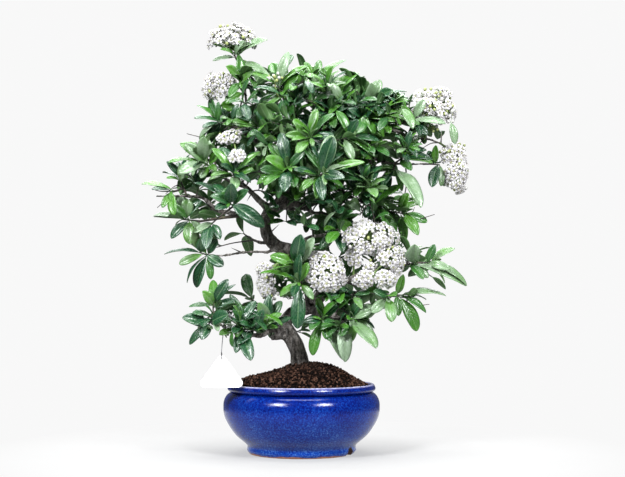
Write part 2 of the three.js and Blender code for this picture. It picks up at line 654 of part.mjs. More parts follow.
        tips: [[50, 246, 12], [22, 250, 9], [22, 282, 8]],
        more: 0 },
    ] },
  { name: 'spray_right_middle',
    rosettes: [
      { twig: [[78, -18, 305], [86, -20, 303], [93, -22, 303]],
        tips: [[107, 340, 11], [68, 324, 7], [122, 304, 8], [116, 322, 9], [76, 288, 9], [113, 270, 11],
          [88, 338, 9]],
        more: 1 },
      { twig: [[84, -20, 303], [104, -10, 296], [124, -6, 293]],
        tips: [[140, 267, 12], [151, 283, 9], [124, 260, 8], [128, 318, 9], [146, 302, 8]],
        more: 1 },
    ] },
  { name: 'spray_right_upper_middle',
    rosettes: [
      { twig: [[112, -7, 354], [118, -12, 358], [122, -16, 363]],
        tips: [[140, 375, 12], [158, 358, 9], [112, 380, 9], [132, 345, 10], [100, 370, 9]],
        more: 1 },
      { twig: [[115, -10, 356], [112, -18, 351], [111, -25, 345]],
        tips: [[119, 322, 6], [139, 303, 8], [130, 328, 7], [96, 326, 8]],
        more: 0 },
    ] },
  { name: 'spray_right_top',
    rosettes: [
      { twig: [[122, -8, 403], [130, -14, 406], [137, -18, 408]],
        tips: [[149, 430, 9], [174, 402, 9], [120, 424, 9], [152, 388, 9], [110, 414, 9]],
        more: 1 },
    ] },
  { name: 'spray_right_far',
    rosettes: [
      { twig: [[146, -2, 353], [156, 0, 353], [166, 2, 352]],
        tips: [[157, 325, 12], [172, 326, 8], [162, 376, 8], [150, 372, 8]],
        more: 1 },
    ] },
  { name: 'spray_right_long',
    rosettes: [
      { twig: [[124, -30, 231], [129, -31, 232], [134, -32, 233]],
        tips: [[136, 256, 14], [120, 258, 9], [146, 214, 10], [122, 206, 8]],
        more: 0 },
      { twig: [[128, -31, 232], [142, -29, 234], [157, -28, 233]],
        tips: [[198, 206, 10], [184, 251, 8], [178, 226, 9], [160, 256, 8]],
        more: 1 },
    ] },
  { name: 'spray_low_right_outer',
    rosettes: [
      { twig: [[102, -24, 195], [112, -24, 195], [121, -24, 195]],
        tips: [[173, 194, 8], [149, 174, 8], [138, 152, 13], [122, 220, 8], [116, 170, 8]],
        more: 1 },
      { twig: [[108, -24, 195], [106, -34, 192], [102, -42, 192]],
        tips: [[108, 163, 11], [84, 174, 9], [86, 200, 8]],
        more: 0 },
    ] },
  { name: 'spray_low_front',
    rosettes: [
      { twig: [[22, -4, 173], [24, -18, 168], [25, -32, 165]],
        tips: [[2, 163, 8], [13, 123, 11], [34, 140, 9], [53, 117, 15], [44, 182, 8], [18, 192, 8]],
        more: 0 },
    ] },
  { name: 'spray_low_right_inner',
    rosettes: [
      { twig: [[49, -23, 165], [56, -30, 166], [62, -36, 167]],
        tips: [[58, 138, 9], [84, 176, 9], [86, 150, 8], [95, 131, 8], [72, 190, 9], [46, 146, 9]],
        more: 1 },
    ] },
  { name: 'spray_back_low_crown',
    rosettes: [
      { twig: [[-3, 50, 351], [2, 68, 355], [6, 84, 358]],
        tips: [], more: 3 },
      { twig: [[0, 60, 353], [-16, 62, 347], [-32, 62, 344]],
        tips: [], more: 3 },
    ] },
  { name: 'spray_back_crown',
    rosettes: [
      { twig: [[21, 51, 400], [26, 68, 408], [30, 84, 416]],
        tips: [], more: 3 },
      { twig: [[24, 61, 405], [42, 64, 402], [60, 68, 400]],
        tips: [], more: 3 },
    ] },
  { name: 'spray_back_left',
    rosettes: [
      { twig: [[-78, 41, 329], [-88, 58, 333], [-96, 74, 337]],
        tips: [], more: 3 },
      { twig: [[-84, 50, 331], [-76, 58, 344], [-70, 62, 354]],
        tips: [], more: 3 },
    ] },
  { name: 'spray_back_right',
    rosettes: [
      { twig: [[46, 44, 319], [58, 58, 325], [70, 71, 331]],
        tips: [], more: 4 },
      { twig: [[54, 54, 323], [76, 50, 319], [98, 46, 316]],
        tips: [], more: 3 },
    ] },
  { name: 'spray_back_low_right',
    rosettes: [
      { twig: [[46, 52, 210], [52, 64, 213], [56, 76, 216]],
        tips: [], more: 4 },
      { twig: [[50, 60, 212], [68, 52, 205], [84, 46, 201]],
        tips: [], more: 3 },
    ] },
  { name: 'spray_back_low_left',
    rosettes: [
      { twig: [[-57, 44, 261], [-64, 56, 265], [-70, 68, 269]],
        tips: [], more: 3 },
    ] },
  { name: 'spray_back_top',
    rosettes: [
      { twig: [[-9, 39, 438], [-20, 54, 445], [-30, 68, 451]],
        tips: [], more: 4 },
      { twig: [[-14, 46, 441], [-4, 52, 452], [4, 54, 462]],
        tips: [], more: 3 },
    ] },
  { name: 'spray_back_upper_right',
    rosettes: [
      { twig: [[91, 18, 398], [98, 32, 400], [105, 46, 402]],
        tips: [], more: 4 },
      { twig: [[96, 28, 399], [96, 44, 384], [92, 58, 370]],
        tips: [], more: 3 },
    ] },
  { name: 'spray_back_branch_left',
    rosettes: [
      { twig: [[-107, 18, 299], [-110, 32, 301], [-113, 46, 303]],
        tips: [], more: 4 },
      { twig: [[-109, 27, 300], [-120, 24, 313], [-130, 22, 326]],
        tips: [], more: 3 },
    ] },
  { name: 'spray_back_upper_left',
    rosettes: [
      { twig: [[-50, 34, 388], [-50, 50, 394], [-50, 66, 401]],
        tips: [], more: 4 },
      { twig: [[-50, 46, 392], [-68, 44, 388], [-86, 44, 386]],
        tips: [], more: 3 },
    ] },
  { name: 'spray_back_lowest',
    rosettes: [
      { twig: [[-49, 36, 182], [-56, 41, 187], [-62, 46, 192]],
        tips: [], more: 4 },
      { twig: [[-54, 40, 186], [-72, 40, 178], [-88, 38, 174]],
        tips: [], more: 3 },
    ] },
  { name: 'spray_back_trunk',
    rosettes: [
      { twig: [[33, 26, 233], [40, 38, 237], [46, 50, 242]],
        tips: [], more: 3 },
    ] },
];

// One leaf is a folded, arched blade with a blunt tip. Its rings each have a left edge, the rib on
// top, a right edge and the rib below. It grows from a four-cornered face of its twig.
function leafSkin(leaf, corners, swell = 0) {
  const root = middle(corners);
  const along = leaf.tip.clone().sub(root);
  const length = along.length();
  along.normalize();
  const up = leaf.up.clone().addScaledVector(along, -leaf.up.dot(along)).normalize();
  const side = new THREE.Vector3().crossVectors(along, up);
  const half = leaf.width / 2;
  const at = (share, a, c) => root.clone()
    .addScaledVector(along, share * length)
    .addScaledVector(side, a)
    .addScaledVector(up, c + leafArch * length * 4 * share * (1 - share));
  const ring = (share, reach) => [
    at(share, -reach - swell, leafFold * reach),
    at(share, 0, leafThickness / 2 + swell),
    at(share, reach + swell, leafFold * reach),
    at(share, 0, -leafThickness / 2 - swell),
  ];
  const first = ring(leafRings.near, half * leafRings.nearWidth);
  const second = ring(leafRings.far, half);
  const blunt = half * leafBlunt;
  const tip = [at(1, -blunt - swell, leafFold * blunt), at(1, blunt + swell, leafFold * blunt)];
  const match = (shift) => first.reduce((sum, point, k) => {
    const spoke = corners[(k + shift) % 4].clone().sub(root).normalize();
    return sum + spoke.dot(point.clone().sub(middle(first)).normalize());
  }, 0);
  const shift = [0, 1, 2, 3].sort((a, b) => match(b) - match(a))[0];
  const points = [0, 1, 2, 3].map((k) => corners[(k + shift) % 4]).concat(first, second, tip);
  const faces = [];
  for (let k = 0; k < 4; k += 1) {
    const next = (k + 1) % 4;
    faces.push([k, next, 4 + next, 4 + k], [4 + k, 4 + next, 8 + next, 8 + k]);
  }
  faces.push([8, 9, 12], [9, 13, 12], [9, 10, 13], [10, 11, 13], [11, 12, 13], [11, 8, 12]);
  return { points, faces, shift };
}

// The leaf by itself, closed at its root.
function leafSolid(leaf, corners, swell) {
  const { points, faces } = leafSkin(leaf, corners, swell);
  return skinSolid({ points, faces: [...faces, [3, 2, 1, 0]] });
}

// Where a rosette's leaf number k springs from its twig, counted back from the twig's end.
function springPoint(twig, k) {
  const end = twig.at(-1);
  const before = twig.at(-2);
  const back = Math.min(leafSpacing * k + 1.2, 0.9 * end.distanceTo(before));
  return end.clone().lerp(before, back / end.distanceTo(before));
}

// A leaf seen from the front: its tip is given, and its face leans to the viewer as wide as it looks.
function seenLeaf(twigRow, twig, row, keys, attempt) {
  const [x, z, width, depth] = row;
  const root = springPoint(twig, keys[1]);
  const end = twigRow.at(-1);
  const looks = Math.hypot(x - end[0], z - end[2]);
  const natural = THREE.MathUtils.clamp(3.3 * width, leafLength.least, leafLength.most);
  const hidden = Math.sqrt(Math.max(0, natural * natural - looks * looks));
  const towards = end[1] > 20 ? 1 : -1;
  let deep = depth ?? 0.75 * towards * hidden - 3 + 10 * chance(keys[0], keys[1], 5);
  const wander = 4 + 5 * attempt;
  let [dx, dz] = [0, 0];
  if (attempt > 0) {
    deep += wander * (chance(keys[0], keys[1], attempt) - 0.5) * 2;
    dx = 0.45 * wander * (chance(keys[0], keys[1], attempt + 20) - 0.5);
    dz = 0.45 * wander * (chance(keys[0], keys[1], attempt + 40) - 0.5);
  }
  const tip = seen([x + dx, end[1] + deep, z + dz]);
  const full = Math.max(width, leafProportion * 0.9 * tip.distanceTo(root));
  const facing = Math.min(1, width / full);
  const up = new THREE.Vector3(0.25 * (chance(keys[0], keys[1], attempt + 60) - 0.5), -facing * 0.9, 0.35);
  up.z += Math.sqrt(1 - facing * facing);
  return { root, tip, up, width: full };
}

// A further leaf stands round its twig by the golden angle and droops a little.
function ruleLeaf(twig, keys, attempt) {
  const root = springPoint(twig, keys[1]);
  const axis = twig.at(-1).clone().sub(twig.at(-2)).normalize();
  const across = new THREE.Vector3(0.31, 0.17, 1).addScaledVector(axis, -axis.z).cross(axis).normalize();
  const turn = goldenAngle * keys[1] + 2 * Math.PI * chance(keys[0], 7, 3) + 0.5 * attempt;
  const spoke = across.applyAxisAngle(axis, turn);
  const open = 0.55 + 0.75 * chance(keys[0], keys[1], attempt + 80);
  const length = leafLength.typical * (0.82 + 0.36 * chance(keys[0], keys[1], 9)) * (1 - 0.02 * attempt);
  const way = axis.clone().multiplyScalar(Math.cos(open)).addScaledVector(spoke, Math.sin(open));
  way.z -= 0.12;
  const tip = root.clone().addScaledVector(way.normalize(), length);
  const up = axis.clone().multiplyScalar(0.6).add(new THREE.Vector3(0, 0, 0.75));
  return { root, tip, up, width: leafProportion * length };
}

function overlap(a, b) {
  for (let i = 0; i < 3; i += 1) {
    if (a.box.min[i] > b.box.max[i] || b.box.min[i] > a.box.max[i]) return 0;
  }
  return a.solid.intersect(b.solid).volume();
}

const boxed = (solid, owner) => ({ solid, owner, box: solid.boundingBox() });

// A twig has four sides. Its last stretch is cut into short lengths, whose faces bear the leaves.
function twigOf(row, leaves) {
  const points = row.map(seen);
  const end = points.pop();
  const before = points.at(-1);
  const lengths = Math.ceil(leaves / 4);
  const reach = Math.min(leafStretch * lengths, 0.8 * end.distanceTo(before)) / end.distanceTo(before);
  for (let i = lengths; i >= 0; i -= 1) points.push(end.clone().lerp(before, (reach * i) / lengths));
  const { start, end: thin } = twigWidth;
  const widths = points.map((_, i) => THREE.MathUtils.lerp(start, thin, i / (points.length - 1)));
  const skin = skinOf(limbRings(points, widths, 4));
  return { skin, free: skin.faces.slice(-4 * lengths - 1) };
}

const pot = potSolid();
const soil = soilSolid().subtract(woodClear);
const heads = HEADS.map((head) => ({ name: head.name, solid: headSolid(head) }));

const sprays = SPRAYS.map(({ name, rosettes }) => {
  const twigs = rosettes.map(({ twig, tips, more }) => twigOf(twig, tips.length + more));
  return { name, twigs, bare: twigs.map(({ skin }) => boxed(skinSolid(skin), name)) };
});

// The blank card hangs by a hooked wire from the lowest branch, in front of the pot's rim.
const cardPlace = seen(cardFoot);

function cardSolid() {
  const centre = new THREE.Vector2(cardWidth / 2 - cardCorner, cardCorner);
  const lean = Math.atan2(centre.x, cardHeight - 2 * cardCorner);
  const outline = new THREE.Shape();
  outline.absarc(centre.x, cardCorner, cardCorner, -Math.PI / 2, lean, false);
  outline.absarc(0, cardHeight - cardCorner, cardCorner, lean, Math.PI - lean, false);
  outline.absarc(-centre.x, cardCorner, cardCorner, Math.PI - lean, 1.5 * Math.PI, false);
  const hole = new THREE.Path();
  hole.absarc(0, cardHoleHeight, cardHoleRadius, 0, 2 * Math.PI, true);
  outline.holes.push(hole);
  const sheet = { depth: cardThickness, bevelEnabled: false, curveSegments: 4 };
  const card = new THREE.ExtrudeGeometry(outline, sheet);
  card.rotateX(Math.PI / 2).translate(cardPlace.x, cardPlace.y + cardThickness / 2, cardPlace.z);
  return toSolid(card);
}

function wireSolid() {
  const branch = seen(wireBranch);
  const through = cardPlace.clone();
  through.z += cardHoleHeight + cardHoleRadius - gap - wireWidth / 2;
  const [deep, tall] = hookReach;
  const points = [
    [branch.x, branch.y + 0.6 * deep, branch.z - tall],
    [branch.x, branch.y + deep, branch.z - 0.3 * tall],
    [branch.x, branch.y + 0.8 * deep, branch.z + 0.7 * tall],
    [branch.x, branch.y, branch.z + tall],
    [branch.x, branch.y - 0.8 * deep, branch.z + 0.7 * tall],
    [branch.x, branch.y - deep, branch.z - 0.3 * tall],
    [through.x, through.y - 0.6 * deep, through.z + 2 * tall],
    [through.x, through.y - 0.5 * deep, through.z + 0.4 * tall],
    [through.x, through.y - 0.3 * deep, through.z],
    [through.x, through.y + 0.3 * deep, through.z],
    [through.x, through.y + 0.5 * deep, through.z + 0.4 * tall],
    [through.x, through.y + 0.5 * deep, through.z + 1.4 * tall],
  ].map((place) => new THREE.Vector3(...place));
  return limb(points, points.map(() => wireWidth), 4);
}

const card = cardSolid();
const wire = wireSolid();

// What a new leaf must stay clear of: everything that is already there.
const standing = [
  boxed(pot, 'pot'),
  boxed(soil, 'soil'),
  boxed(card, 'label_card'),
  boxed(wire, 'label_wire'),
  ...limbClear.map((solid) => boxed(solid, 'wood')),
  ...heads.map(({ name, solid }) => boxed(solid, name)),
  ...sprays.flatMap(({ bare }) => bare),
];

// The free faces of a twig, those that look the leaf's way first.
function facesFor(twig, tip) {
  const looks = (face) => {
    const corners = face.map((corner) => twig.skin.points[corner]);
    const normal = corners[2].clone().sub(corners[0]).cross(corners[3].clone().sub(corners[1])).normalize();
    return normal.dot(tip.clone().sub(middle(corners)).normalize());
  };
  return twig.free.filter((face) => looks(face) > 0.25).sort((a, b) => looks(b) - looks(a)).slice(0, 4);
}

function placeLeaf(spray, twig, makeLeaf) {
  for (let attempt = 0; attempt < leafTries; attempt += 1) {
    const leaf = makeLeaf(attempt);
    for (const face of facesFor(twig, leaf.tip)) {
      const corners = face.map((corner) => twig.skin.points[corner]);
      const exact = boxed(leafSolid(leaf, corners, 0), spray.name);
      const swollen = boxed(leafSolid(leaf, corners, leafClear), spray.name);
      const blocked = standing.some((other) => (
        other.owner === spray.name ? overlap(exact, other) > leafTouch : overlap(swollen, other) > 0
      ));
      if (!blocked) {
        standing.push(exact);
        const { points, faces, shift } = leafSkin(leaf, corners, 0);
        const start = twig.skin.points.length - 4;
        const index = (k) => (k < 4 ? face[(k + shift) % 4] : start + k);
        twig.skin.points.push(...points.slice(4));
        twig.skin.faces = twig.skin.faces.filter((other) => other !== face);
        twig.skin.faces.push(...faces.map((loop) => loop.map(index)));
        twig.free = twig.free.filter((other) => other !== face);
        return;
      }
    }
  }
}

SPRAYS.forEach((row, s) => {
  const spray = sprays[s];
  row.rosettes.forEach((rosette, r) => {
    const twig = spray.twigs[r];
    const points = rosette.twig.map(seen);
    rosette.tips.forEach((tip, k) => {
      placeLeaf(spray, twig, (attempt) => seenLeaf(rosette.twig, points, tip, [10 * s + r, k], attempt));
    });
    for (let k = 0; k < rosette.more; k += 1) {
      placeLeaf(spray, twig, (attempt) => ruleLeaf(points, [10 * s + r, rosette.tips.length + k], attempt));
    }
  });
  spray.solid = largest(join(spray.twigs.map(({ skin }) => skinSolid(skin))).subtract(woodClear));
});

// Assembly

const material = (color, roughness) => new THREE.MeshStandardMaterial({ color, roughness, metalness: 0 });
const glaze = material(0x14309a, 0.25);
const earth = material(0x3a261b, 0.95);
const bark = material(0x5c5148, 0.85);
const green = material(0x3f6b34, 0.5);
const white = material(0xf2f0e6, 0.7);
const steel = material(0xb8b8ba, 0.4);

const group = new THREE.Group();

function add(name, solid, finish) {
  const mesh = new THREE.Mesh(toGeometry(solid), finish);
  mesh.name = name;
  group.add(mesh);
}

add('pot', pot, glaze);
add('soil', soil, earth);
add('wood', woodSolid, bark);
add('label_card', card, white);
add('label_wire', wire, steel);
for (const { name, solid } of heads) add(name, solid, white);
for (const { name, solid } of sprays) add(name, solid, green);

// The part's origin is under the middle of its box, on the surface that the pot stands on.
const centre = new THREE.Box3().setFromObject(group).getCenter(new THREE.Vector3());
for (const mesh of group.children) mesh.position.set(-centre.x, -centre.y, 0);

export default group;
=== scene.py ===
# A firethorn bonsai in flower in its blue glazed pot: fine pieces built round the CAD frame.
import math

import bmesh
import bpy
import numpy as np
from mathutils import Matrix, Vector, noise
from mathutils.bvhtree import BVHTree


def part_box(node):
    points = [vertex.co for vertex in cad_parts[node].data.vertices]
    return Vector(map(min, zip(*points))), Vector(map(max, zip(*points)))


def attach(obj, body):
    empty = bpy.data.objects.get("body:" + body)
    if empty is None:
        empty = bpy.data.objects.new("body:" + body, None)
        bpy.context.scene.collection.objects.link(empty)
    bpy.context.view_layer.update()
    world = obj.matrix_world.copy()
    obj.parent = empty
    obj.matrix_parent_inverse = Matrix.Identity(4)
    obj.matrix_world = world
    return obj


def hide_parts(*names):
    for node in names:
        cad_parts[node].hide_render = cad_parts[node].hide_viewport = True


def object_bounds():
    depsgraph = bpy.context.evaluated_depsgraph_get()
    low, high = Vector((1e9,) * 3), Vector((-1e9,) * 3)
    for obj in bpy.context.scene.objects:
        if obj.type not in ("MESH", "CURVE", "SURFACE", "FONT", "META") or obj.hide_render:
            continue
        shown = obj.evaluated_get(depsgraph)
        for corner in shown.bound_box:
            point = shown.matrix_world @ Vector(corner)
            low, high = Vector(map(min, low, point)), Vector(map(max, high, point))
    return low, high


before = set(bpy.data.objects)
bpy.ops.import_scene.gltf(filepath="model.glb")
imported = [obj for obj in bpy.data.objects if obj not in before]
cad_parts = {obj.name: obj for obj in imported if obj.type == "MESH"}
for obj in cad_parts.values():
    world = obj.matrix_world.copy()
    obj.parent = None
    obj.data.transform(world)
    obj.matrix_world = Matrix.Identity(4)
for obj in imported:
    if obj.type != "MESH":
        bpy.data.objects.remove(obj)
cad_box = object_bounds()

# The plant is worked out in millimetres about the pot's axis, as in the CAD source. Its points are
# given as seen from the front, at x and z on the upright plane through the pot's axis, with the
# depth y behind that plane.
MM = 0.001
pot_low, pot_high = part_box("pot")
POT_AXIS = np.array([(pot_low.x + pot_high.x) / 2, (pot_low.y + pot_high.y) / 2, 0.0])
EYE = np.array([13.0, -1400.0, 180.0])
GROUND = 8.0
GOLDEN_ANGLE = math.pi * (3 - math.sqrt(5))


def vector(*numbers):
    return np.array(numbers, float)


def unit(v):
    return v / np.linalg.norm(v)


def mix(a, b, share):
    return a + (b - a) * share


def seen(point):
    """The place in millimetres of a point given as it is seen."""
    x, y, z = point[:3]
    place = EYE + (vector(x, 0, z) - EYE) * (1 + y / -EYE[1])
    place[2] -= GROUND
    return place


def looks_at(place):
    """Where a place shows on the upright plane, as x and z."""
    share = EYE[1] / (EYE[1] - place[1])
    return EYE[0] + (place[0] - EYE[0]) * share, EYE[2] + (place[2] + GROUND - EYE[2]) * share


def chance(a, b, c):
    """A share from 0 to 1 that is always the same for the same three numbers."""
    wave = math.sin(a * 12.9898 + b * 78.233 + c * 37.719) * 43758.5453
    return wave - math.floor(wave)


# The tree's limbs, flower heads and leafy sprays, as in the CAD source

# Each limb is a list of points x, y, z and width. The first is the trunk.
LIMBS = [
    [(-1, 0, 70, 22), (-1, 0, 92, 25), (-2, 0, 112, 23), (-4, 0, 126, 20), (-9, 1, 139, 20),
     (-16, 4, 150, 19), (-20, 9, 160, 17), (-15, 15, 170, 16), (-3, 18, 178, 15), (12, 16, 184, 15),
     (23, 10, 195, 15), (26, 6, 209, 15), (20, 2, 225, 15), (6, 0, 239, 15), (-10, 0, 248, 16),
     (-26, 0, 252, 16), (-37, 0, 260, 16), (-43, 0, 272, 14), (-44, 0, 285, 14), (-38, 0, 297, 14),
     (-27, 0, 306, 14), (-21, 0, 320, 13), (-17, 2, 340, 12), (-6, 4, 360, 11), (8, 4, 380, 10),
     (18, 2, 400, 8), (24, 0, 420, 6), (22, -2, 436, 4)],
    [(-16, 2, 146, 9), (-28, -4, 145, 7), (-37, -5, 144, 6)],
    [(-16, 4, 150, 9), (-28, -6, 153, 8), (-38, -12, 153, 7), (-47, -18, 147, 6), (-62, -28, 148, 5),
     (-78, -38, 152, 4.5), (-93, -48, 157, 4), (-104, -50, 167, 3)],
    [(-3, 18, 178, 14), (12, 6, 178, 13), (28, -8, 172, 12), (42, -16, 167, 9), (50, -24, 165, 5)],
    [(36, -12, 170, 6), (46, -16, 184, 5), (59, -20, 194, 4.5), (72, -22, 200, 4.5), (88, -24, 198, 4),
     (104, -24, 194, 3)],
    [(26, 6, 205, 8), (44, -14, 208, 7), (62, -34, 216, 6), (76, -44, 226, 4)],
    [(58, -30, 214, 5), (90, -30, 222, 4), (112, -30, 228, 3.5), (126, -30, 231, 3)],
    [(8, 6, 182, 7), (6, -8, 194, 5), (2, -26, 204, 3.6)],
    [(-30, 0, 254, 6), (-39, -2, 247, 4), (-54, -6, 247, 3.5), (-72, -12, 246, 3.2), (-90, -18, 243, 2.8),
     (-104, -24, 242, 2.4)],
    [(-44, 0, 284, 8), (-64, -6, 290, 6.5), (-86, -10, 294, 6), (-102, -12, 297, 5),
     (-111, -14, 306, 4.5), (-122, -15, 313, 4), (-139, -16, 314, 3.5), (-157, -15, 314, 3),
     (-176, -14, 314, 2.2)],
    [(-70, -6, 291, 5), (-88, -14, 289, 4.5), (-108, -20, 286, 4), (-126, -21, 283, 3)],
    [(-38, 0, 298, 9), (-50, -6, 308, 8), (-58, -12, 316, 7), (-68, -20, 326, 5), (-78, -30, 335, 3.4)],
    [(-68, -18, 325, 5), (-88, -20, 333, 4.2), (-104, -20, 343, 3.4)],
    [(-30, 0, 304, 12), (-14, 4, 303, 12), (4, 6, 302, 12), (12, 6, 301, 8)],
    [(6, 4, 300, 6), (14, 0, 294, 4.5), (26, -8, 294, 3.6)],
    [(-6, 0, 246, 6), (4, -4, 262, 5), (19, -8, 266, 4.5), (34, -12, 268, 3.4)],
    [(-19, 0, 328, 9), (0, -6, 332, 7), (22, -8, 335, 6), (43, -8, 337, 5), (60, -8, 340, 4.5),
     (73, -8, 344, 4.2), (79, -8, 352, 4), (87, -8, 359, 4), (101, -8, 355, 3.5), (125, -6, 353, 3.2),
     (148, -2, 353, 2.6)],
    [(22, -8, 335, 5), (44, -12, 322, 4.5), (66, -16, 310, 3.6), (80, -18, 305, 3)],
    [(14, 3, 390, 7), (34, 0, 394, 6), (56, -4, 396, 5.5), (80, -6, 396, 5), (100, -6, 395, 4.5),
     (118, -6, 392, 4), (129, -6, 385, 3.5), (150, -3, 384, 3), (168, 0, 378, 2.4)],
    [(100, -6, 395, 4), (120, -8, 402, 3.4), (138, -8, 410, 2.6)],
    [(-12, 3, 352, 7), (-30, 2, 366, 6), (-50, 0, 378, 5), (-67, -2, 389, 4.5), (-67, -2, 412, 4),
     (-68, -2, 438, 3.5), (-71, -2, 462, 3), (-76, -2, 478, 2.6)],
    [(-52, 0, 379, 4), (-70, -4, 393, 3.4), (-86, -6, 400, 2.8)],
    [(8, 4, 380, 5), (-8, -4, 404, 4), (-20, -12, 428, 3)],
    [(34, 0, 394, 5), (56, -10, 408, 4), (76, -18, 419, 3)],
    [(8, 4, 378, 6), (6, -24, 378, 4.8), (8, -50, 380, 3.6)],
    [(-19, 0, 328, 7), (-6, -24, 330, 5.5), (8, -50, 334, 4)],
    [(-17, 2, 338, 7), (-12, 30, 346, 5), (-2, 52, 351, 3.6)],
    [(8, 4, 380, 6.5), (16, 34, 392, 4.6), (22, 54, 402, 3.6)],
    [(-58, -10, 316, 5), (-68, 20, 324, 4.2), (-80, 44, 330, 3.2)],
    [(4, 6, 302, 8), (26, 24, 310, 5.6), (48, 46, 320, 4)],
    [(26, 6, 207, 8), (38, 34, 206, 5), (47, 54, 210, 3.6)],
    [(-37, 0, 260, 7), (-48, 28, 258, 4.6), (-58, 46, 261, 3.4)],
    [(24, 0, 418, 5), (2, 26, 432, 3.6), (-10, 40, 439, 3)],
    [(80, -6, 396, 4.5), (92, 20, 398, 3.2)],
    [(-102, -12, 297, 4.5), (-108, 20, 299, 3.2)],
    [(-50, 0, 378, 4.5), (-50, 36, 389, 3.2)],
    [(-20, 9, 160, 7), (-36, 26, 173, 4.4), (-50, 37, 183, 3)],
    [(20, 2, 225, 6), (34, 28, 233, 3.8)],
]

# Each head or cluster of buds has a stalk and domes. A dome has a centre, a facing, its half width,
# half length and height, and its number of CAD florets.
HEADS = {
    "head_top": ([(-76, -2, 476), (-79, -2, 490), (-83, -2, 502)],
     [((-83, -2, 500), (0, -0.25, 1), (27, 27, 25), 15)]),
    "head_upper_left": ([(-68, -2, 444), (-82, -2, 448), (-96, -4, 449)],
     [((-97, -4, 449), (-0.7, -0.7, 0.25), (17, 18, 12), 8)]),
    "buds_upper_left": ([(-17, -10, 421), (-30, -20, 438), (-33, -22, 456)],
     [((-33, -22, 455), (0, -0.5, 1), (12, 9, 9), 4)]),
    "head_left": ([(-76, -5, 396), (-84, -24, 390), (-87, -38, 385)],
     [((-87, -36, 385), (-0.2, -1, 0.3), (15, 10, 8), 5), ((-79, -36, 364), (0, -1, 0.2), (8, 7, 6), 2)]),
    "head_low_left": ([(-10, 0, 248), (-30, -14, 232), (-42, -16, 214)],
     [((-42, -14, 211), (-0.6, -0.7, 0), (13, 19, 10), 7)]),
    "head_middle": ([(22, 2, 215), (26, -24, 220), (27, -44, 224)],
     [((27, -42, 224), (-0.15, -1, 0.25), (23, 22, 14), 11)]),
    "head_right_upper": ([(62, -34, 216), (64, -42, 240), (76, -48, 264)],
     [((77, -48, 265), (0, -1, 0.5), (25, 20, 15), 10),
      ((63, -46, 242), (-0.4, -1, 0.1), (13, 12, 9), 4)]),
    "head_right_lower": ([(76, -44, 226), (84, -50, 219), (88, -50, 214)],
     [((75, -51, 213), (-0.2, -1, -0.2), (13, 12, 9), 4),
      ((101, -52, 216), (0.3, -1, -0.1), (13, 12, 9), 4),
      ((107, -48, 241), (0.3, -1, 0.2), (18, 15, 11), 6)]),
    "head_upper_right": ([(134, -8, 408), (146, -6, 416), (156, -5, 422)],
     [((158, -5, 423), (0.35, -0.6, 0.75), (25, 19, 13), 11)]),
    "head_far_right": ([(166, 0, 379), (178, 1, 370), (184, 2, 356)],
     [((186, 2, 350), (0.5, -0.8, 0.15), (17, 29, 12), 12)]),
    "buds_right": ([(148, -3, 384), (152, -10, 392), (154, -14, 396)],
     [((154, -13, 396), (0.1, -0.8, 0.6), (12, 8, 7), 4)]),
}

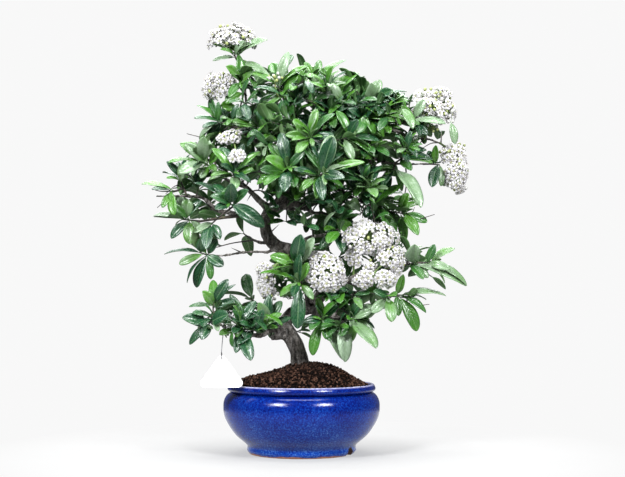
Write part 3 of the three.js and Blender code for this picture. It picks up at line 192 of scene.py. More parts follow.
# Each spray is a list of rosettes. A rosette has a twig, its seen leaves' tips as x, z, width and
# sometimes depth, and a number of further leaves.
SPRAYS = {
    "top_left": [([(-74, -2, 472), (-80, -9, 482), (-82, -12, 490)], [(-42, 504, 9), (-99, 493, 6),
     (-70, 503, 10), (-108, 479, 7), (-57, 462, 9)], 1)],
    "upper_left": [([(-67, -2, 436), (-76, -14, 448), (-74, -18, 456)], [(-92, 472, 11), (-88, 434, 9),
     (-49, 434, 8), (-60, 464, 9)], 1),
     ([(-70, -7, 440), (-74, 10, 424), (-76, 14, 416)], [(-98, 424, 12)], 1)],
    "upper_inner": [([(-18, -10, 424), (-26, -14, 440), (-29, -16, 449)], [(-16, 490, 9), (7, 471, 9),
     (-63, 462, 9), (-30, 450, 9, 30), (-58, 410, 9), (-12, 430, 9)], 1)],
    "left_high": [([(-84, -6, 399), (-96, -6, 403), (-103, -6, 404)], [(-101, 429, 7), (-127, 424, 6),
     (-129, 409, 7), (-120, 398, 5), (-124, 384, 6), (-109, 381, 11), (-84, 427, 7)], 1)],
    "left_inner": [([(-34, 2, 368), (-42, -18, 384), (-52, -36, 398)], [(-84, 405, 9), (-28, 404, 8),
     (-28, 378, 8), (-50, 426, 9), (-66, 385, 8), (-39, 370, 12)], 1)],
    "crown_top": [([(23, -1, 424), (30, -16, 428), (35, -30, 432)], [(6, 463, 10), (36, 462, 10),
     (62, 446, 9), (70, 468, 11), (54, 414, 9), (14, 416, 9)], 1),
     ([(28, -10, 427), (18, -10, 444), (14, -11, 456)], [(3, 478, 8), (40, 472, 8), (-12, 462, 9),
     (22, 480, 8), (52, 480, 7)], 1)],
    "crown_right": [([(72, -17, 417), (84, -22, 425), (91, -25, 428)], [(110, 443, 12), (127, 441, 7),
     (95, 456, 9), (84, 452, 12), (123, 411, 11), (62, 432, 9), (70, 448, 9)], 1)],
    "crown_middle": [([(52, -8, 406), (66, -34, 408), (78, -52, 409)], [(116, 417, 8), (116, 404, 8),
     (90, 428, 9), (56, 420, 9), (99, 386, 10), (66, 392, 9)], 1)],
    "crown_front": [([(8, -46, 380), (10, -66, 382), (11, -80, 385)], [(18, 420, 9), (40, 414, 8),
     (-11, 406, 9), (39, 388, 9), (-6, 366, 10), (22, 360, 9), (-20, 388, 9)], 1),
     ([(10, -62, 382), (38, -62, 382), (60, -62, 385)], [(42, 418, 8), (68, 407, 9), (94, 381, 9),
     (84, 366, 8), (62, 358, 9)], 1)],
    "front_middle": [([(6, -46, 333), (17, -66, 337), (26, -84, 341)], [(0, 374, 9), (38, 386, 15),
     (74, 354, 9), (52, 336, 12), (26, 309, 11), (-10, 346, 8), (-3, 320, 9), (50, 366, 9)], 1)],
    "front_left": [([(-8, -22, 330), (-14, -48, 338), (-17, -72, 348)], [(-25, 391, 11), (4, 368, 9),
     (-40, 378, 11), (-44, 360, 13), (-28, 311, 8), (-54, 328, 9), (2, 318, 8), (-50, 346, 10)], 1)],
    "left_middle": [([(-74, -26, 332), (-80, -38, 338), (-83, -46, 342)], [(-50, 368, 8), (-70, 378, 9),
     (-104, 367, 9), (-98, 352, 8), (-58, 346, 9), (-80, 322, 11), (-112, 334, 8)], 1)],
    "left_outer": [([(-101, -20, 341), (-112, -22, 350), (-119, -24, 357)], [(-118, 386, 13),
     (-147, 342, 12), (-141, 378, 11), (-161, 355, 7), (-103, 344, 8), (-122, 336, 9),
     (-96, 372, 9)], 1)],
    "left_big_leaf": [([(-72, -8, 292), (-80, -32, 300), (-87, -50, 306)], [(-45, 277, 17, 6),
     (-85, 330, 13), (-110, 314, 10), (-104, 298, 9), (-130, 330, 8), (-64, 322, 10)], 0),
     ([(-82, -38, 302), (-98, -38, 290), (-110, -38, 279)], [(-115, 250, 12), (-98, 262, 8),
     (-130, 270, 8)], 0)],
    "left_tip": [([(-122, -21, 284), (-134, -20, 285), (-143, -19, 286)], [(-138, 311, 13),
     (-120, 309, 8), (-179, 290, 8), (-160, 307, 9), (-134, 256, 12), (-157, 263, 9),
     (-117, 268, 8)], 1)],
    "left_shoot": [([(-138, -16, 314), (-144, -18, 328), (-147, -18, 338)], [(-161, 356, 7),
     (-151, 362, 8), (-132, 352, 8), (-163, 336, 6)], 1),
     ([(-143, -17, 324), (-150, -24, 321), (-158, -30, 320)], [(-180, 322, 6), (-168, 300, 7)], 1)],
    "left_hanging": [([(-100, -23, 242), (-112, -27, 243), (-122, -30, 246)], [(-120, 264, 9),
     (-165, 244, 6), (-147, 232, 9), (-94, 230, 10), (-126, 204, 7), (-109, 214, 6), (-101, 262, 9),
     (-143, 258, 7)], 1)],
    "low_left_outer": [([(-102, -50, 165), (-106, -51, 177), (-105, -50, 187)], [(-88, 214, 10),
     (-119, 200, 10), (-135, 181, 6), (-80, 190, 8), (-104, 214, 8)], 1),
     ([(-105, -51, 172), (-110, -56, 162), (-112, -60, 158)], [(-143, 168, 12), (-134, 136, 8),
     (-120, 142, 10), (-88, 172, 14)], 0)],
    "low_left_middle": [([(-64, -29, 148), (-70, -36, 152), (-74, -42, 158)], [(-55, 188, 10),
     (-74, 184, 8), (-86, 196, 9), (-79, 126, 11), (-64, 112, 12), (-98, 150, 8), (-50, 166, 9)], 1)],
    "low_left_inner": [([(-38, -12, 153), (-40, -20, 157), (-39, -26, 160)], [(-52, 186, 12),
     (-24, 188, 9), (-38, 196, 8), (-12, 168, 8)], 1)],
    "trunk_front": [([(2, -24, 203), (-1, -36, 208), (-4, -46, 210)], [(-50, 221, 7), (8, 234, 9),
     (-26, 193, 9), (-5, 155, 14), (-18, 166, 11), (14, 190, 8)], 0),
     ([(0, -33, 207), (-4, -34, 222), (-8, -36, 233)], [(-1, 268, 15), (15, 264, 13), (-38, 242, 12),
     (-22, 252, 12)], 1)],
    "centre_right": [([(24, -7, 294), (34, -18, 291), (44, -28, 288)], [(66, 306, 12), (60, 266, 12),
     (48, 320, 9), (24, 314, 9)], 0),
     ([(36, -20, 290), (40, -20, 280), (43, -20, 270)], [(50, 246, 12), (22, 250, 9), (22, 282, 8)], 0)],
    "right_middle": [([(78, -18, 305), (86, -20, 303), (93, -22, 303)], [(107, 340, 11), (68, 324, 7),
     (122, 304, 8), (116, 322, 9), (76, 288, 9), (113, 270, 11), (88, 338, 9)], 1),
     ([(84, -20, 303), (104, -10, 296), (124, -6, 293)], [(140, 267, 12), (151, 283, 9), (124, 260, 8),
     (128, 318, 9), (146, 302, 8)], 1)],
    "right_upper_middle": [([(112, -7, 354), (118, -12, 358), (122, -16, 363)], [(140, 375, 12),
     (158, 358, 9), (112, 380, 9), (132, 345, 10), (100, 370, 9)], 1),
     ([(115, -10, 356), (112, -18, 351), (111, -25, 345)], [(119, 322, 6), (139, 303, 8), (130, 328, 7),
     (96, 326, 8)], 0)],
    "right_top": [([(122, -8, 403), (130, -14, 406), (137, -18, 408)], [(149, 430, 9), (174, 402, 9),
     (120, 424, 9), (152, 388, 9), (110, 414, 9)], 1)],
    "right_far": [([(146, -2, 353), (156, 0, 353), (166, 2, 352)], [(157, 325, 12), (172, 326, 8),
     (162, 376, 8), (150, 372, 8)], 1)],
    "right_long": [([(124, -30, 231), (129, -31, 232), (134, -32, 233)], [(136, 256, 14), (120, 258, 9),
     (146, 214, 10), (122, 206, 8)], 0),
     ([(128, -31, 232), (142, -29, 234), (157, -28, 233)], [(198, 206, 10), (184, 251, 8), (178, 226, 9),
     (160, 256, 8)], 1)],
    "low_right_outer": [([(102, -24, 195), (112, -24, 195), (121, -24, 195)], [(173, 194, 8),
     (149, 174, 8), (138, 152, 13), (122, 220, 8), (116, 170, 8)], 1),
     ([(108, -24, 195), (106, -34, 192), (102, -42, 192)], [(108, 163, 11), (84, 174, 9),
     (86, 200, 8)], 0)],
    "low_front": [([(22, -4, 173), (24, -18, 168), (25, -32, 165)], [(2, 163, 8), (13, 123, 11),
     (34, 140, 9), (53, 117, 15), (44, 182, 8), (18, 192, 8)], 0)],
    "low_right_inner": [([(49, -23, 165), (56, -30, 166), (62, -36, 167)], [(58, 138, 9), (84, 176, 9),
     (86, 150, 8), (95, 131, 8), (72, 190, 9), (46, 146, 9)], 1)],
    "back_low_crown": [([(-3, 50, 351), (2, 68, 355), (6, 84, 358)], [], 3),
     ([(0, 60, 353), (-16, 62, 347), (-32, 62, 344)], [], 3)],
    "back_crown": [([(21, 51, 400), (26, 68, 408), (30, 84, 416)], [], 3),
     ([(24, 61, 405), (42, 64, 402), (60, 68, 400)], [], 3)],
    "back_left": [([(-78, 41, 329), (-88, 58, 333), (-96, 74, 337)], [], 3),
     ([(-84, 50, 331), (-76, 58, 344), (-70, 62, 354)], [], 3)],
    "back_right": [([(46, 44, 319), (58, 58, 325), (70, 71, 331)], [], 4),
     ([(54, 54, 323), (76, 50, 319), (98, 46, 316)], [], 3)],
    "back_low_right": [([(46, 52, 210), (52, 64, 213), (56, 76, 216)], [], 4),
     ([(50, 60, 212), (68, 52, 205), (84, 46, 201)], [], 3)],
    "back_low_left": [([(-57, 44, 261), (-64, 56, 265), (-70, 68, 269)], [], 3)],
    "back_top": [([(-9, 39, 438), (-20, 54, 445), (-30, 68, 451)], [], 4),
     ([(-14, 46, 441), (-4, 52, 452), (4, 54, 462)], [], 3)],
    "back_upper_right": [([(91, 18, 398), (98, 32, 400), (105, 46, 402)], [], 4),
     ([(96, 28, 399), (96, 44, 384), (92, 58, 370)], [], 3)],
    "back_branch_left": [([(-107, 18, 299), (-110, 32, 301), (-113, 46, 303)], [], 4),
     ([(-109, 27, 300), (-120, 24, 313), (-130, 22, 326)], [], 3)],
    "back_upper_left": [([(-50, 34, 388), (-50, 50, 394), (-50, 66, 401)], [], 4),
     ([(-50, 46, 392), (-68, 44, 388), (-86, 44, 386)], [], 3)],
    "back_lowest": [([(-49, 36, 182), (-56, 41, 187), (-62, 46, 192)], [], 4),
     ([(-54, 40, 186), (-72, 40, 178), (-88, 38, 174)], [], 3)],
    "back_trunk": [([(33, 26, 233), (40, 38, 237), (46, 50, 242)], [], 3)],
}


# Meshes

def linked(name, data):
    """A new object in the scene."""
    made = bpy.data.objects.new(name, data)
    bpy.context.scene.collection.objects.link(made)
    return made


class Shape:
    """Gathers the points and faces of one piece, with a value of three numbers at each point."""

    def __init__(self):
        self.points, self.groups, self.values, self.total = [], [], [], 0

    def add(self, points, faces, value=(0.0, 0.0, 0.0), slot=0):
        """Adds faces, or a list of pairs of faces and their material slot."""
        points = np.asarray(points, float).reshape(-1, 3)
        self.points.append(points)
        self.values.append(np.broadcast_to(np.asarray(value, float), (len(points), 3)))
        groups = faces if isinstance(faces, list) else [(faces, slot)]
        self.groups += [(group + self.total, group_slot) for group, group_slot in groups]
        self.total += len(points)

    def whole(self):
        return np.vstack(self.points), self.groups, np.vstack(self.values)

    def piece(self, name, materials, smooth=True):
        points, groups, values = self.whole()
        corners = np.concatenate([group.ravel() for group, _ in groups])
        sizes = np.concatenate([np.full(len(group), group.shape[1]) for group, _ in groups])
        slots = np.concatenate([np.full(len(group), slot) for group, slot in groups])
        mesh = bpy.data.meshes.new(name)
        mesh.vertices.add(len(points))
        mesh.vertices.foreach_set("co", np.clip(points * MM + POT_AXIS, *cad_box).ravel())
        mesh.loops.add(len(corners))
        mesh.loops.foreach_set("vertex_index", corners)
        mesh.polygons.add(len(sizes))
        mesh.polygons.foreach_set("loop_start", np.concatenate([[0], np.cumsum(sizes)[:-1]]))
        mesh.polygons.foreach_set("material_index", slots)
        mesh.polygons.foreach_set("use_smooth", np.full(len(sizes), smooth))
        for material in materials:
            mesh.materials.append(material)
        mesh.update(calc_edges=True)
        set_look(mesh, values)
        return linked(name, mesh)


def set_look(mesh, values):
    """Keeps three numbers at each point, which the finishes read."""
    look = mesh.attributes.get("look") or mesh.attributes.new("look", "FLOAT_VECTOR", "POINT")
    look.data.foreach_set("vector", np.ravel(values))


def taken(base, name, material):
    """An object of one material from another as its modifiers leave it. The other one goes."""
    graph = bpy.context.evaluated_depsgraph_get()
    mesh = bpy.data.meshes.new_from_object(base.evaluated_get(graph), depsgraph=graph)
    bpy.data.objects.remove(base)
    mesh.name = name
    mesh.materials.clear()
    mesh.materials.append(material)
    return linked(name, mesh)


def dressed(piece, slot, *nodes):
    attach(piece, "root")
    if nodes:
        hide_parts(*nodes)


def smooth_path(rows, step):
    """Points spaced by about step on a curve through the rows, whose last columns run along with them."""
    rows = np.asarray(rows, float)
    padded = np.vstack([2 * rows[0] - rows[1], rows, 2 * rows[-1] - rows[-2]])
    out = []
    for i in range(1, len(rows)):
        a, b, c, d = padded[i - 1:i + 3]
        count = max(1, round(np.linalg.norm((c - b)[:3]) / step))
        for t in np.arange(count) / count:
            out.append(0.5 * (2 * b + (c - a) * t + (2 * a - 5 * b + 4 * c - d) * t ** 2
                              + (3 * b - a - 3 * c + d) * t ** 3))
    return np.array(out + [rows[-1]])


def ring_axes(points):
    """Two directions across a path at each of its points, which don't turn about it."""
    along = np.gradient(points, axis=0)
    along /= np.linalg.norm(along, axis=1)[:, None]
    across = np.cross(along[0], vector(0, 0, 1) if abs(along[0][2]) < 0.9 else vector(1, 0, 0))
    firsts = []
    for direction in along:
        across = unit(across - direction * across.dot(direction))
        firsts.append(across)
    return np.array(firsts), np.cross(along, firsts)


def band(rows, sides):
    """Four-cornered faces between rings of points that follow each other."""
    near = np.arange(rows - 1)[:, None] * sides + np.arange(sides)[None, :]
    turned = np.arange(rows - 1)[:, None] * sides + (np.arange(sides)[None, :] + 1) % sides
    return np.stack([near, turned, turned + sides, near + sides], axis=-1).reshape(-1, 4)


def caps(rows, sides):
    """The faces that close the first and the last ring."""
    ring = np.arange(sides)
    return np.array([ring[::-1], sides * (rows - 1) + ring])


def add_tube(shape, points, radii, sides, value=(0.0, 0.0, 0.0), slot=0):
    """A tube on a path. Its radii are one number, the first and the last, or one at each point."""
    points, radii = np.asarray(points, float), np.asarray(radii, float)
    if radii.shape == (2,):
        radii = np.linspace(*radii, len(points))
    radii = np.broadcast_to(radii, (len(points),))[:, None, None]
    first, second = ring_axes(points)
    turns = 2 * math.pi * np.arange(sides)[None, :, None] / sides
    rings = points[:, None] + radii * (np.cos(turns) * first[:, None] + np.sin(turns) * second[:, None])
    if np.ndim(value) == 2:
        value = np.repeat(value, sides, axis=0)
    shape.add(rings, [(band(len(points), sides), slot), (caps(len(points), sides), slot)], value)


def plain_mesh(source, name):
    mesh = bpy.data.meshes.new(name)
    source.to_mesh(mesh)
    source.free()
    return mesh


def ball(detail):
    """Points and faces of a round ball of radius 1."""
    mesh = bmesh.new()
    bmesh.ops.create_icosphere(mesh, subdivisions=detail, radius=1)
    points = np.array([v.co for v in mesh.verts])
    faces = np.array([[v.index for v in f.verts] for f in mesh.faces])
    mesh.free()
    return points, faces


# Leaves: closed blades with a stalk, a folded rib, rounded halves and a waved edge. The value at each
# point is the leaf's tone, the place across it and the place along it.

# Places along a leaf, and the share of its half width that a long one and a round one have there
LEAF_ROWS = vector(0, 0.05, 0.1, 0.15, 0.22, 0.3, 0.4, 0.51, 0.62, 0.72, 0.81, 0.885, 0.945, 0.985, 1)
LONG_LEAF = vector(0, 0, 0.06, 0.24, 0.44, 0.63, 0.82, 0.95, 1, 0.98, 0.9, 0.76, 0.54, 0.27, 0.05)
ROUND_LEAF = vector(0, 0.02, 0.16, 0.42, 0.66, 0.84, 0.97, 1, 0.95, 0.86, 0.73, 0.57, 0.37, 0.17, 0.03)
STALK_RADIUS, BLADE_THICKNESS, RIB_GROOVE, RIB_RIDGE = 0.5, 0.5, 0.18, 0.2
# How far the halves fold up, round and wave, and the leaf arches, as shares of their size
FOLD, ROUNDING, WAVES, ARCH = 0.24, 0.1, 0.07, 0.09
# The CAD leaf's blunt tip as a share of its width, and a usual leaf's width as a share of its length
BLUNT, PROPORTION = 0.42, 0.31
LEAST_LENGTH, MOST_LENGTH, TYPICAL_LENGTH = 27, 50, 38
SPACING = 1.9
# Tries at each CAD leaf, and how near its mesh has to be
TRIES, NEAR = 9, 0.7


def blade_axes(root, tip, up):
    along = unit(tip - root)
    up = unit(up - along * up.dot(along))
    return along, up, np.cross(along, up)


def leaf_grid(rows, across):
    """The rows, the loop of points round a row, the side of each and the faces of a leaf's mesh."""
    half = len(across)
    loop, face = np.concatenate([across, across[::-1]]), np.repeat([1.0, -1.0], half)
    side = np.tile(np.arange(2 * half), len(rows) - 1)
    above = (side < half - 1) | (side == 2 * half - 1)
    faces = band(len(rows), 2 * half)
    groups = [(faces[above], 0), (faces[~above], 1), (caps(len(rows), 2 * half), 0)]
    return rows[:, None], loop[None, :], face, groups


FULL_LEAF = leaf_grid(LEAF_ROWS, vector(-1, -0.66, -0.33, 0, 0.33, 0.66, 1))
LIGHT_LEAF = leaf_grid(LEAF_ROWS[::2], vector(-1, -0.5, 0, 0.5, 1))


def add_leaf(shape, leaf, tone, key, grid=FULL_LEAF):
    root, tip, up, width = leaf
    along, up, side = blade_axes(root, tip, up)
    length = np.linalg.norm(tip - root)
    luck = [chance(key, n, 4) for n in range(10)]
    t, u, face, faces = grid
    outline = mix(LONG_LEAF, ROUND_LEAF, luck[8])
    half = (1.12 + 0.24 * luck[9]) * width / 2 * np.interp(t, LEAF_ROWS, outline)
    reach = np.maximum(half, STALK_RADIUS * (1 - t))
    rib = np.exp(-(u / 0.2) ** 2)
    lift = FOLD * np.abs(u) * half * (0.75 + 0.5 * luck[0]) + ROUNDING * half * np.sin(math.pi * np.abs(u))
    lift += WAVES * half * np.sin(2 * math.pi * (1.4 * t + luck[1]) + 1.5 * np.sign(u)) * u ** 2
    lift += ARCH * length * 4 * t * (1 - t) * (0.8 + 0.4 * luck[2])
    lift -= RIB_GROOVE * rib * np.clip(half / 3, 0, 1) * (face > 0)
    thin = BLADE_THICKNESS / 2 * (1 - 0.5 * u ** 4)
    thick = np.where(half > STALK_RADIUS, thin + RIB_RIDGE * rib * (1 - t) * (face < 0), STALK_RADIUS)
    lift = lift + thick * face * np.sqrt(np.maximum(0.15, 1 - 0.8 * (half <= STALK_RADIUS) * u ** 2))
    sway = (luck[3] - 0.5) * 0.06 * length * np.sin(math.pi * t)
    twist = (luck[4] - 0.5) * 0.9 * (t - 0.5) * t
    places = (root + along * (t * length)[..., None]
              + side * ((u * reach + sway) * np.cos(twist) - lift * np.sin(twist) * 0.3)[..., None]
              + up * (lift + u * reach * np.sin(twist))[..., None])
    values = np.stack(np.broadcast_arrays(tone, u, t), axis=-1)
    shape.add(places, faces, values.reshape(-1, 3))


def spring_point(twig, k):
    """Where the leaf of a number springs from the twig, near its end."""
    end, before = twig[-1], twig[-2]
    span = np.linalg.norm(end - before)
    return end + (before - end) * min(SPACING * k + 1.2, 0.9 * span) / span


def seen_leaf(twig_row, twig, tip_row, keys, attempt):
    """A leaf whose tip is seen at a place, leaning to the viewer as wide as it looks."""
    x, z, width = tip_row[:3]
    root, end = spring_point(twig, keys[1]), twig_row[-1]
    natural = min(max(3.3 * width, LEAST_LENGTH), MOST_LENGTH)
    hidden = math.sqrt(max(0.0, natural ** 2 - math.hypot(x - end[0], z - end[2]) ** 2))
    towards = 1 if end[1] > 20 else -1
    deep = tip_row[3] if len(tip_row) > 3 else 0.75 * towards * hidden - 3 + 10 * chance(*keys, 5)
    dx = dz = 0.0
    if attempt > 0:
        wander = 4 + 5 * attempt
        deep += wander * (chance(*keys, attempt) - 0.5) * 2
        dx, dz = (0.45 * wander * (chance(*keys, attempt + n) - 0.5) for n in (20, 40))
    tip = seen((x + dx, end[1] + deep, z + dz))
    full = max(width, PROPORTION * 0.9 * np.linalg.norm(tip - root))
    facing = min(1.0, width / full)
    up = vector(0.25 * (chance(*keys, attempt + 60) - 0.5), -facing * 0.9, 0.35)
    up[2] += math.sqrt(1 - facing * facing)
    return root, tip, up, full


def rule_leaf(twig, keys, attempt, size=1.0, root=None, rise=-0.12):
    """A further leaf, which stands round its twig by the golden angle."""
    root = spring_point(twig, keys[1]) if root is None else root
    axis = unit(twig[-1] - twig[-2])
    across = vector(0.31, 0.17, 1)
    across = unit(np.cross(across - axis * axis[2], axis))
    turn = GOLDEN_ANGLE * keys[1] + 2 * math.pi * chance(keys[0], 7, 3) + 0.5 * attempt
    spoke = across * math.cos(turn) + np.cross(axis, across) * math.sin(turn)
    opening = 0.55 + 0.75 * chance(*keys, attempt + 80)
    length = size * TYPICAL_LENGTH * (0.82 + 0.36 * chance(*keys, 9)) * (1 - 0.02 * attempt)
    way = axis * math.cos(opening) + spoke * math.sin(opening) + vector(0, 0, rise)
    return root, root + unit(way) * length, axis * 0.6 + vector(0, 0, 0.75), PROPORTION * length


def cad_tree(node):
    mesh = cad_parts[node].data
    return BVHTree.FromPolygons([v.co for v in mesh.vertices], [p.vertices for p in mesh.polygons])


def is_in_cad(tree, leaf):
    """Whether the CAD spray has this leaf: both corners of its blunt tip lie on the mesh."""
    root, tip, up, width = leaf
    _, up, side = blade_axes(root, tip, up)
    for way in (-1, 1):
        corner = tip + side * way * BLUNT * width / 2 + up * FOLD * BLUNT * width / 2
        distance = tree.find_nearest(Vector(corner * MM + POT_AXIS))[3]
        if distance is None or distance > NEAR * MM:
            return False
    return True


def chosen(tree, make_leaf, *facts):
    """The first of some tries at a leaf that the CAD spray has."""
    for attempt in range(TRIES):
        leaf = make_leaf(*facts, attempt)
        if is_in_cad(tree, leaf):
            return leaf
    return None


# Flowers: heads of small five-petalled florets with cupped petals, a green-yellow centre, stamens
# with dark anthers, and buds. The value at each point is its tone and its place along a petal.

FLORET_RADIUS, CENTRE_RADIUS, PETAL_HALF_WIDTH = 3.9, 0.6, 1.65
PETAL_ROWS = vector(0, 0.3, 0.62, 0.88, 1)
PETAL_HALF = vector(0.16, 0.6, 1, 0.84, 0.36)
PETAL_LOOP = vector(-1, 0, 1, 1, 0, -1)
PETAL_FACE = np.repeat([1.0, -1.0], 3)
PETALS, STAMENS, KINDS = 5, 7, 6
BUD_POINTS, BUD_FACES = ball(2)
CENTRE_POINTS, CENTRE_FACES = ball(1)
ANTHER_POINTS = np.vstack([np.eye(3), -np.eye(3)]) * (0.3, 0.3, 0.24)
ANTHER_FACES = np.array([(0, 1, 2), (1, 3, 2), (3, 4, 2), (4, 0, 2),
                         (1, 0, 5), (3, 1, 5), (4, 3, 5), (0, 4, 5)])
PETAL_SLOT, CENTRE_SLOT, ANTHER_SLOT, STALK_SLOT = 0, 1, 2, 3


def head_axes(facing):
    out = unit(np.asarray(facing, float))
    across = vector(-out[1], out[0], 0)
    if np.linalg.norm(across) < 0.3:
        across = vector(1, 0, 0)
    across = unit(across - out * across.dot(out))
    return across, np.cross(out, across), out


def floret_form(kind):
    """A floret with its base at the origin, facing up: points, faces with slots, and values."""
    form = Shape()
    t, u = PETAL_ROWS[:, None], PETAL_LOOP[None, :]
    rows, sides = len(PETAL_ROWS), len(PETAL_LOOP)
    faces = [(band(rows, sides), PETAL_SLOT), (caps(rows, sides), PETAL_SLOT)]
    for petal in range(PETALS):
        luck = [chance(kind, petal, n) for n in range(4)]
        turn = 2 * math.pi * (petal + 0.2 * (luck[0] - 0.5)) / PETALS
        tall = 0.25 + 0.5 * luck[1]
        reach = CENTRE_RADIUS + (FLORET_RADIUS - CENTRE_RADIUS) * t * (0.93 + 0.14 * luck[2])
        half = PETAL_HALF_WIDTH * np.interp(t, PETAL_ROWS, PETAL_HALF)
        lift = 0.5 + tall * t ** 1.5 * 2 - 0.9 * t ** 4 + 0.32 * half * u ** 2 + 0.07 * PETAL_FACE
        across = u * half
        x = reach * math.cos(turn) - across * math.sin(turn)
        y = reach * math.sin(turn) + across * math.cos(turn)
        points = np.stack(np.broadcast_arrays(x, y, lift), axis=-1)
        shade = np.stack(np.broadcast_arrays(luck[3], t, np.zeros(x.shape)), axis=-1)
        form.add(points, faces, shade.reshape(-1, 3))
    form.add(CENTRE_POINTS * (0.95, 0.95, 0.6) + (0, 0, 0.75), CENTRE_FACES, (0.5, 0, 0), CENTRE_SLOT)
    for n in range(STAMENS):
        turn = 2 * math.pi * (n + 0.5 * chance(kind, n, 7)) / STAMENS
        spread, height = 1.0 + 1.1 * chance(kind, n, 8), 1.9 + 0.8 * chance(kind, n, 9)
        foot = vector(CENTRE_RADIUS * math.cos(turn), CENTRE_RADIUS * math.sin(turn), 0.9)
        end = vector(spread * math.cos(turn), spread * math.sin(turn), height)
        add_tube(form, [foot, end], (0.1, 0.08), 3, (0.8, 1, 0), PETAL_SLOT)
        form.add(ANTHER_POINTS + end, ANTHER_FACES, (chance(kind, n, 11), 0, 0), ANTHER_SLOT)
    return form.whole()


FLORETS = [floret_form(kind) for kind in range(KINDS)]


def add_floret(shape, form, centre, axes, turn, size):
    across, along, out = axes
    turned = np.array([across * math.cos(turn) + along * math.sin(turn),
                       along * math.cos(turn) - across * math.sin(turn), out])
    points, faces, values = form
    shape.add(points @ turned * size + centre, faces, values)


# Smaller clusters that fill the gaps between the domes, by head
SIDE_DOMES = {
    "head_left": [((-78, -54, 363), (0, -1, 0.2), (10, 8, 6), 4)],
    "head_upper_left": [((-109, -4, 453), (-0.8, -0.6, 0.3), (10, 14, 8), 3),
     ((-86, -9, 451), (0.3, -1, 0.3), (9, 10, 7), 2.5),
     ((-111, -5, 438), (-0.7, -0.7, -0.2), (8, 8, 6), 2),
     ((-114, -5, 449), (-0.8, -0.7, 0.1), (8, 15, 7), 3)],
    "head_upper_right": [((143, -8, 416), (-0.4, -1, 0.3), (12, 12, 8), 3),
     ((172, -5, 430), (0.6, -0.8, 0.5), (12, 13, 8), 3), ((162, -9, 410), (0.1, -1, -0.3), (14, 9, 7), 3),
     ((149, -6, 437), (-0.1, -0.9, 0.5), (13, 10, 7), 3),
     ((169, -5, 440), (0.3, -0.9, 0.6), (13, 9, 7), 3), ((179, -5, 416), (0.6, -0.8, 0), (10, 13, 8), 3)],
    "head_far_right": [((176, -2, 364), (-0.3, -1, 0.5), (10, 12, 8), 3),
     ((176, 0, 336), (-0.2, -1, -0.4), (10, 11, 7), 3), ((187, 0, 372), (0.2, -1, 0.6), (12, 10, 7), 3),
     ((189, 2, 325), (0.2, -1, -0.5), (11, 9, 6), 2.5),
     ((192, -3, 350), (0.5, -0.9, 0.1), (9, 18, 8), 4)],
    "head_right_upper": [((101, -46, 266), (0.5, -1, 0.3), (17, 15, 11), 5),
     ((84, -44, 250), (0.1, -1, -0.3), (16, 9, 7), 3)],
    "head_right_lower": [((84, -47, 229), (0, -1, 0), (9, 9, 6), 2),
     ((116, -46, 232), (0.6, -1, 0), (11, 13, 7), 3)],
    "head_middle": [((45, -42, 214), (0.5, -1, -0.2), (11, 12, 8), 3),
     ((20, -44, 240), (-0.1, -1, 0.6), (14, 9, 7), 3), ((30, -46, 205), (0, -1, -0.6), (13, 8, 7), 3)],
    "head_top": [((-84, -4, 514), (0, -0.6, 1), (19, 10, 7), 4),
     ((-105, -4, 504), (-0.6, -0.6, 0.5), (11, 12, 8), 4),
     ((-63, -4, 503), (0.5, -0.6, 0.5), (11, 10, 8), 3), ((-85, -8, 507), (0, -1, 0.4), (20, 12, 8), 5),
     ((-100, -5, 514), (-0.3, -0.7, 0.8), (13, 9, 7), 4),
     ((-69, -5, 514), (0.3, -0.7, 0.8), (13, 9, 7), 4)],
    "head_low_left": [((-44, -18, 224), (-0.3, -1, 0.4), (12, 11, 8), 4),
     ((-38, -17, 197), (0, -1, -0.5), (11, 9, 7), 3)],
}
FULLNESS = vector(1.08, 1.08, 1.04)
FLORETS_EACH, BUDS_EACH = 4.1, 2.6
USUAL_BUD_SHARE = 0.12
BUD_SHARE = {"head_upper_right": 0.46, "head_far_right": 0.24, "head_top": 0.2}
FLORET_STALK, DOME_STALK, HEAD_STALK = 0.42, 1.0, (1.3, 1.0)


def add_dome(shape, dome, stalk_end, key, bud_share):
    """Florets and buds spread evenly over a dome, each on a thin stalk from the dome's foot."""
    at, facing, size, florets = dome
    centre = seen(at)
    across, along, out = head_axes(facing)
    wide, long, high = FULLNESS * vector(*size)
    count = round(florets * (BUDS_EACH if bud_share == 1 else FLORETS_EACH))
    foot = centre - out * 0.25 * high
    for k in range(count):
        luck = [chance(key, k, n) for n in range(8)]
        height = 1 - 0.98 * (k + 0.3) / count
        spread = math.sqrt(1 - height ** 2)
        angle = GOLDEN_ANGLE * k + at[0]
        x, y = spread * math.cos(angle), spread * math.sin(angle)
        depth = 0.6 + 5.0 * luck[0] ** 1.5
        place = (centre + across * x * (wide - depth) + along * y * (long - depth)
                 + out * height * (high - depth))
        facing = unit(across * x / wide + along * y / long + out * (height + 0.45) / high
                      + 0.25 * (vector(*luck[1:4]) - 0.5) / high)
        bend = mix(foot, place, 0.55) + out * 0.1 * high
        path = smooth_path([foot, bend, place - facing * 0.3], 6)
        add_tube(shape, path, FLORET_STALK, 4, (0.4, 0, 0), STALK_SLOT)
        if luck[4] < bud_share:
            radius, is_green = 1.3 + 0.9 * luck[5], luck[6] > 0.55
            shape.add(BUD_POINTS * radius * vector(1, 1, 1.15) + place, BUD_FACES,
                      (0.2 if is_green else 0.9, 0.3, 0), CENTRE_SLOT if is_green else PETAL_SLOT)
        else:
            add_floret(shape, FLORETS[k % KINDS], place - facing * 1.6, head_axes(facing),
                       2 * math.pi * luck[7], 0.98 + 0.2 * luck[5])
    path = smooth_path([stalk_end, mix(stalk_end, foot, 0.6), foot], 5)
    add_tube(shape, path, DOME_STALK, 6, (0.3, 0, 0), STALK_SLOT)


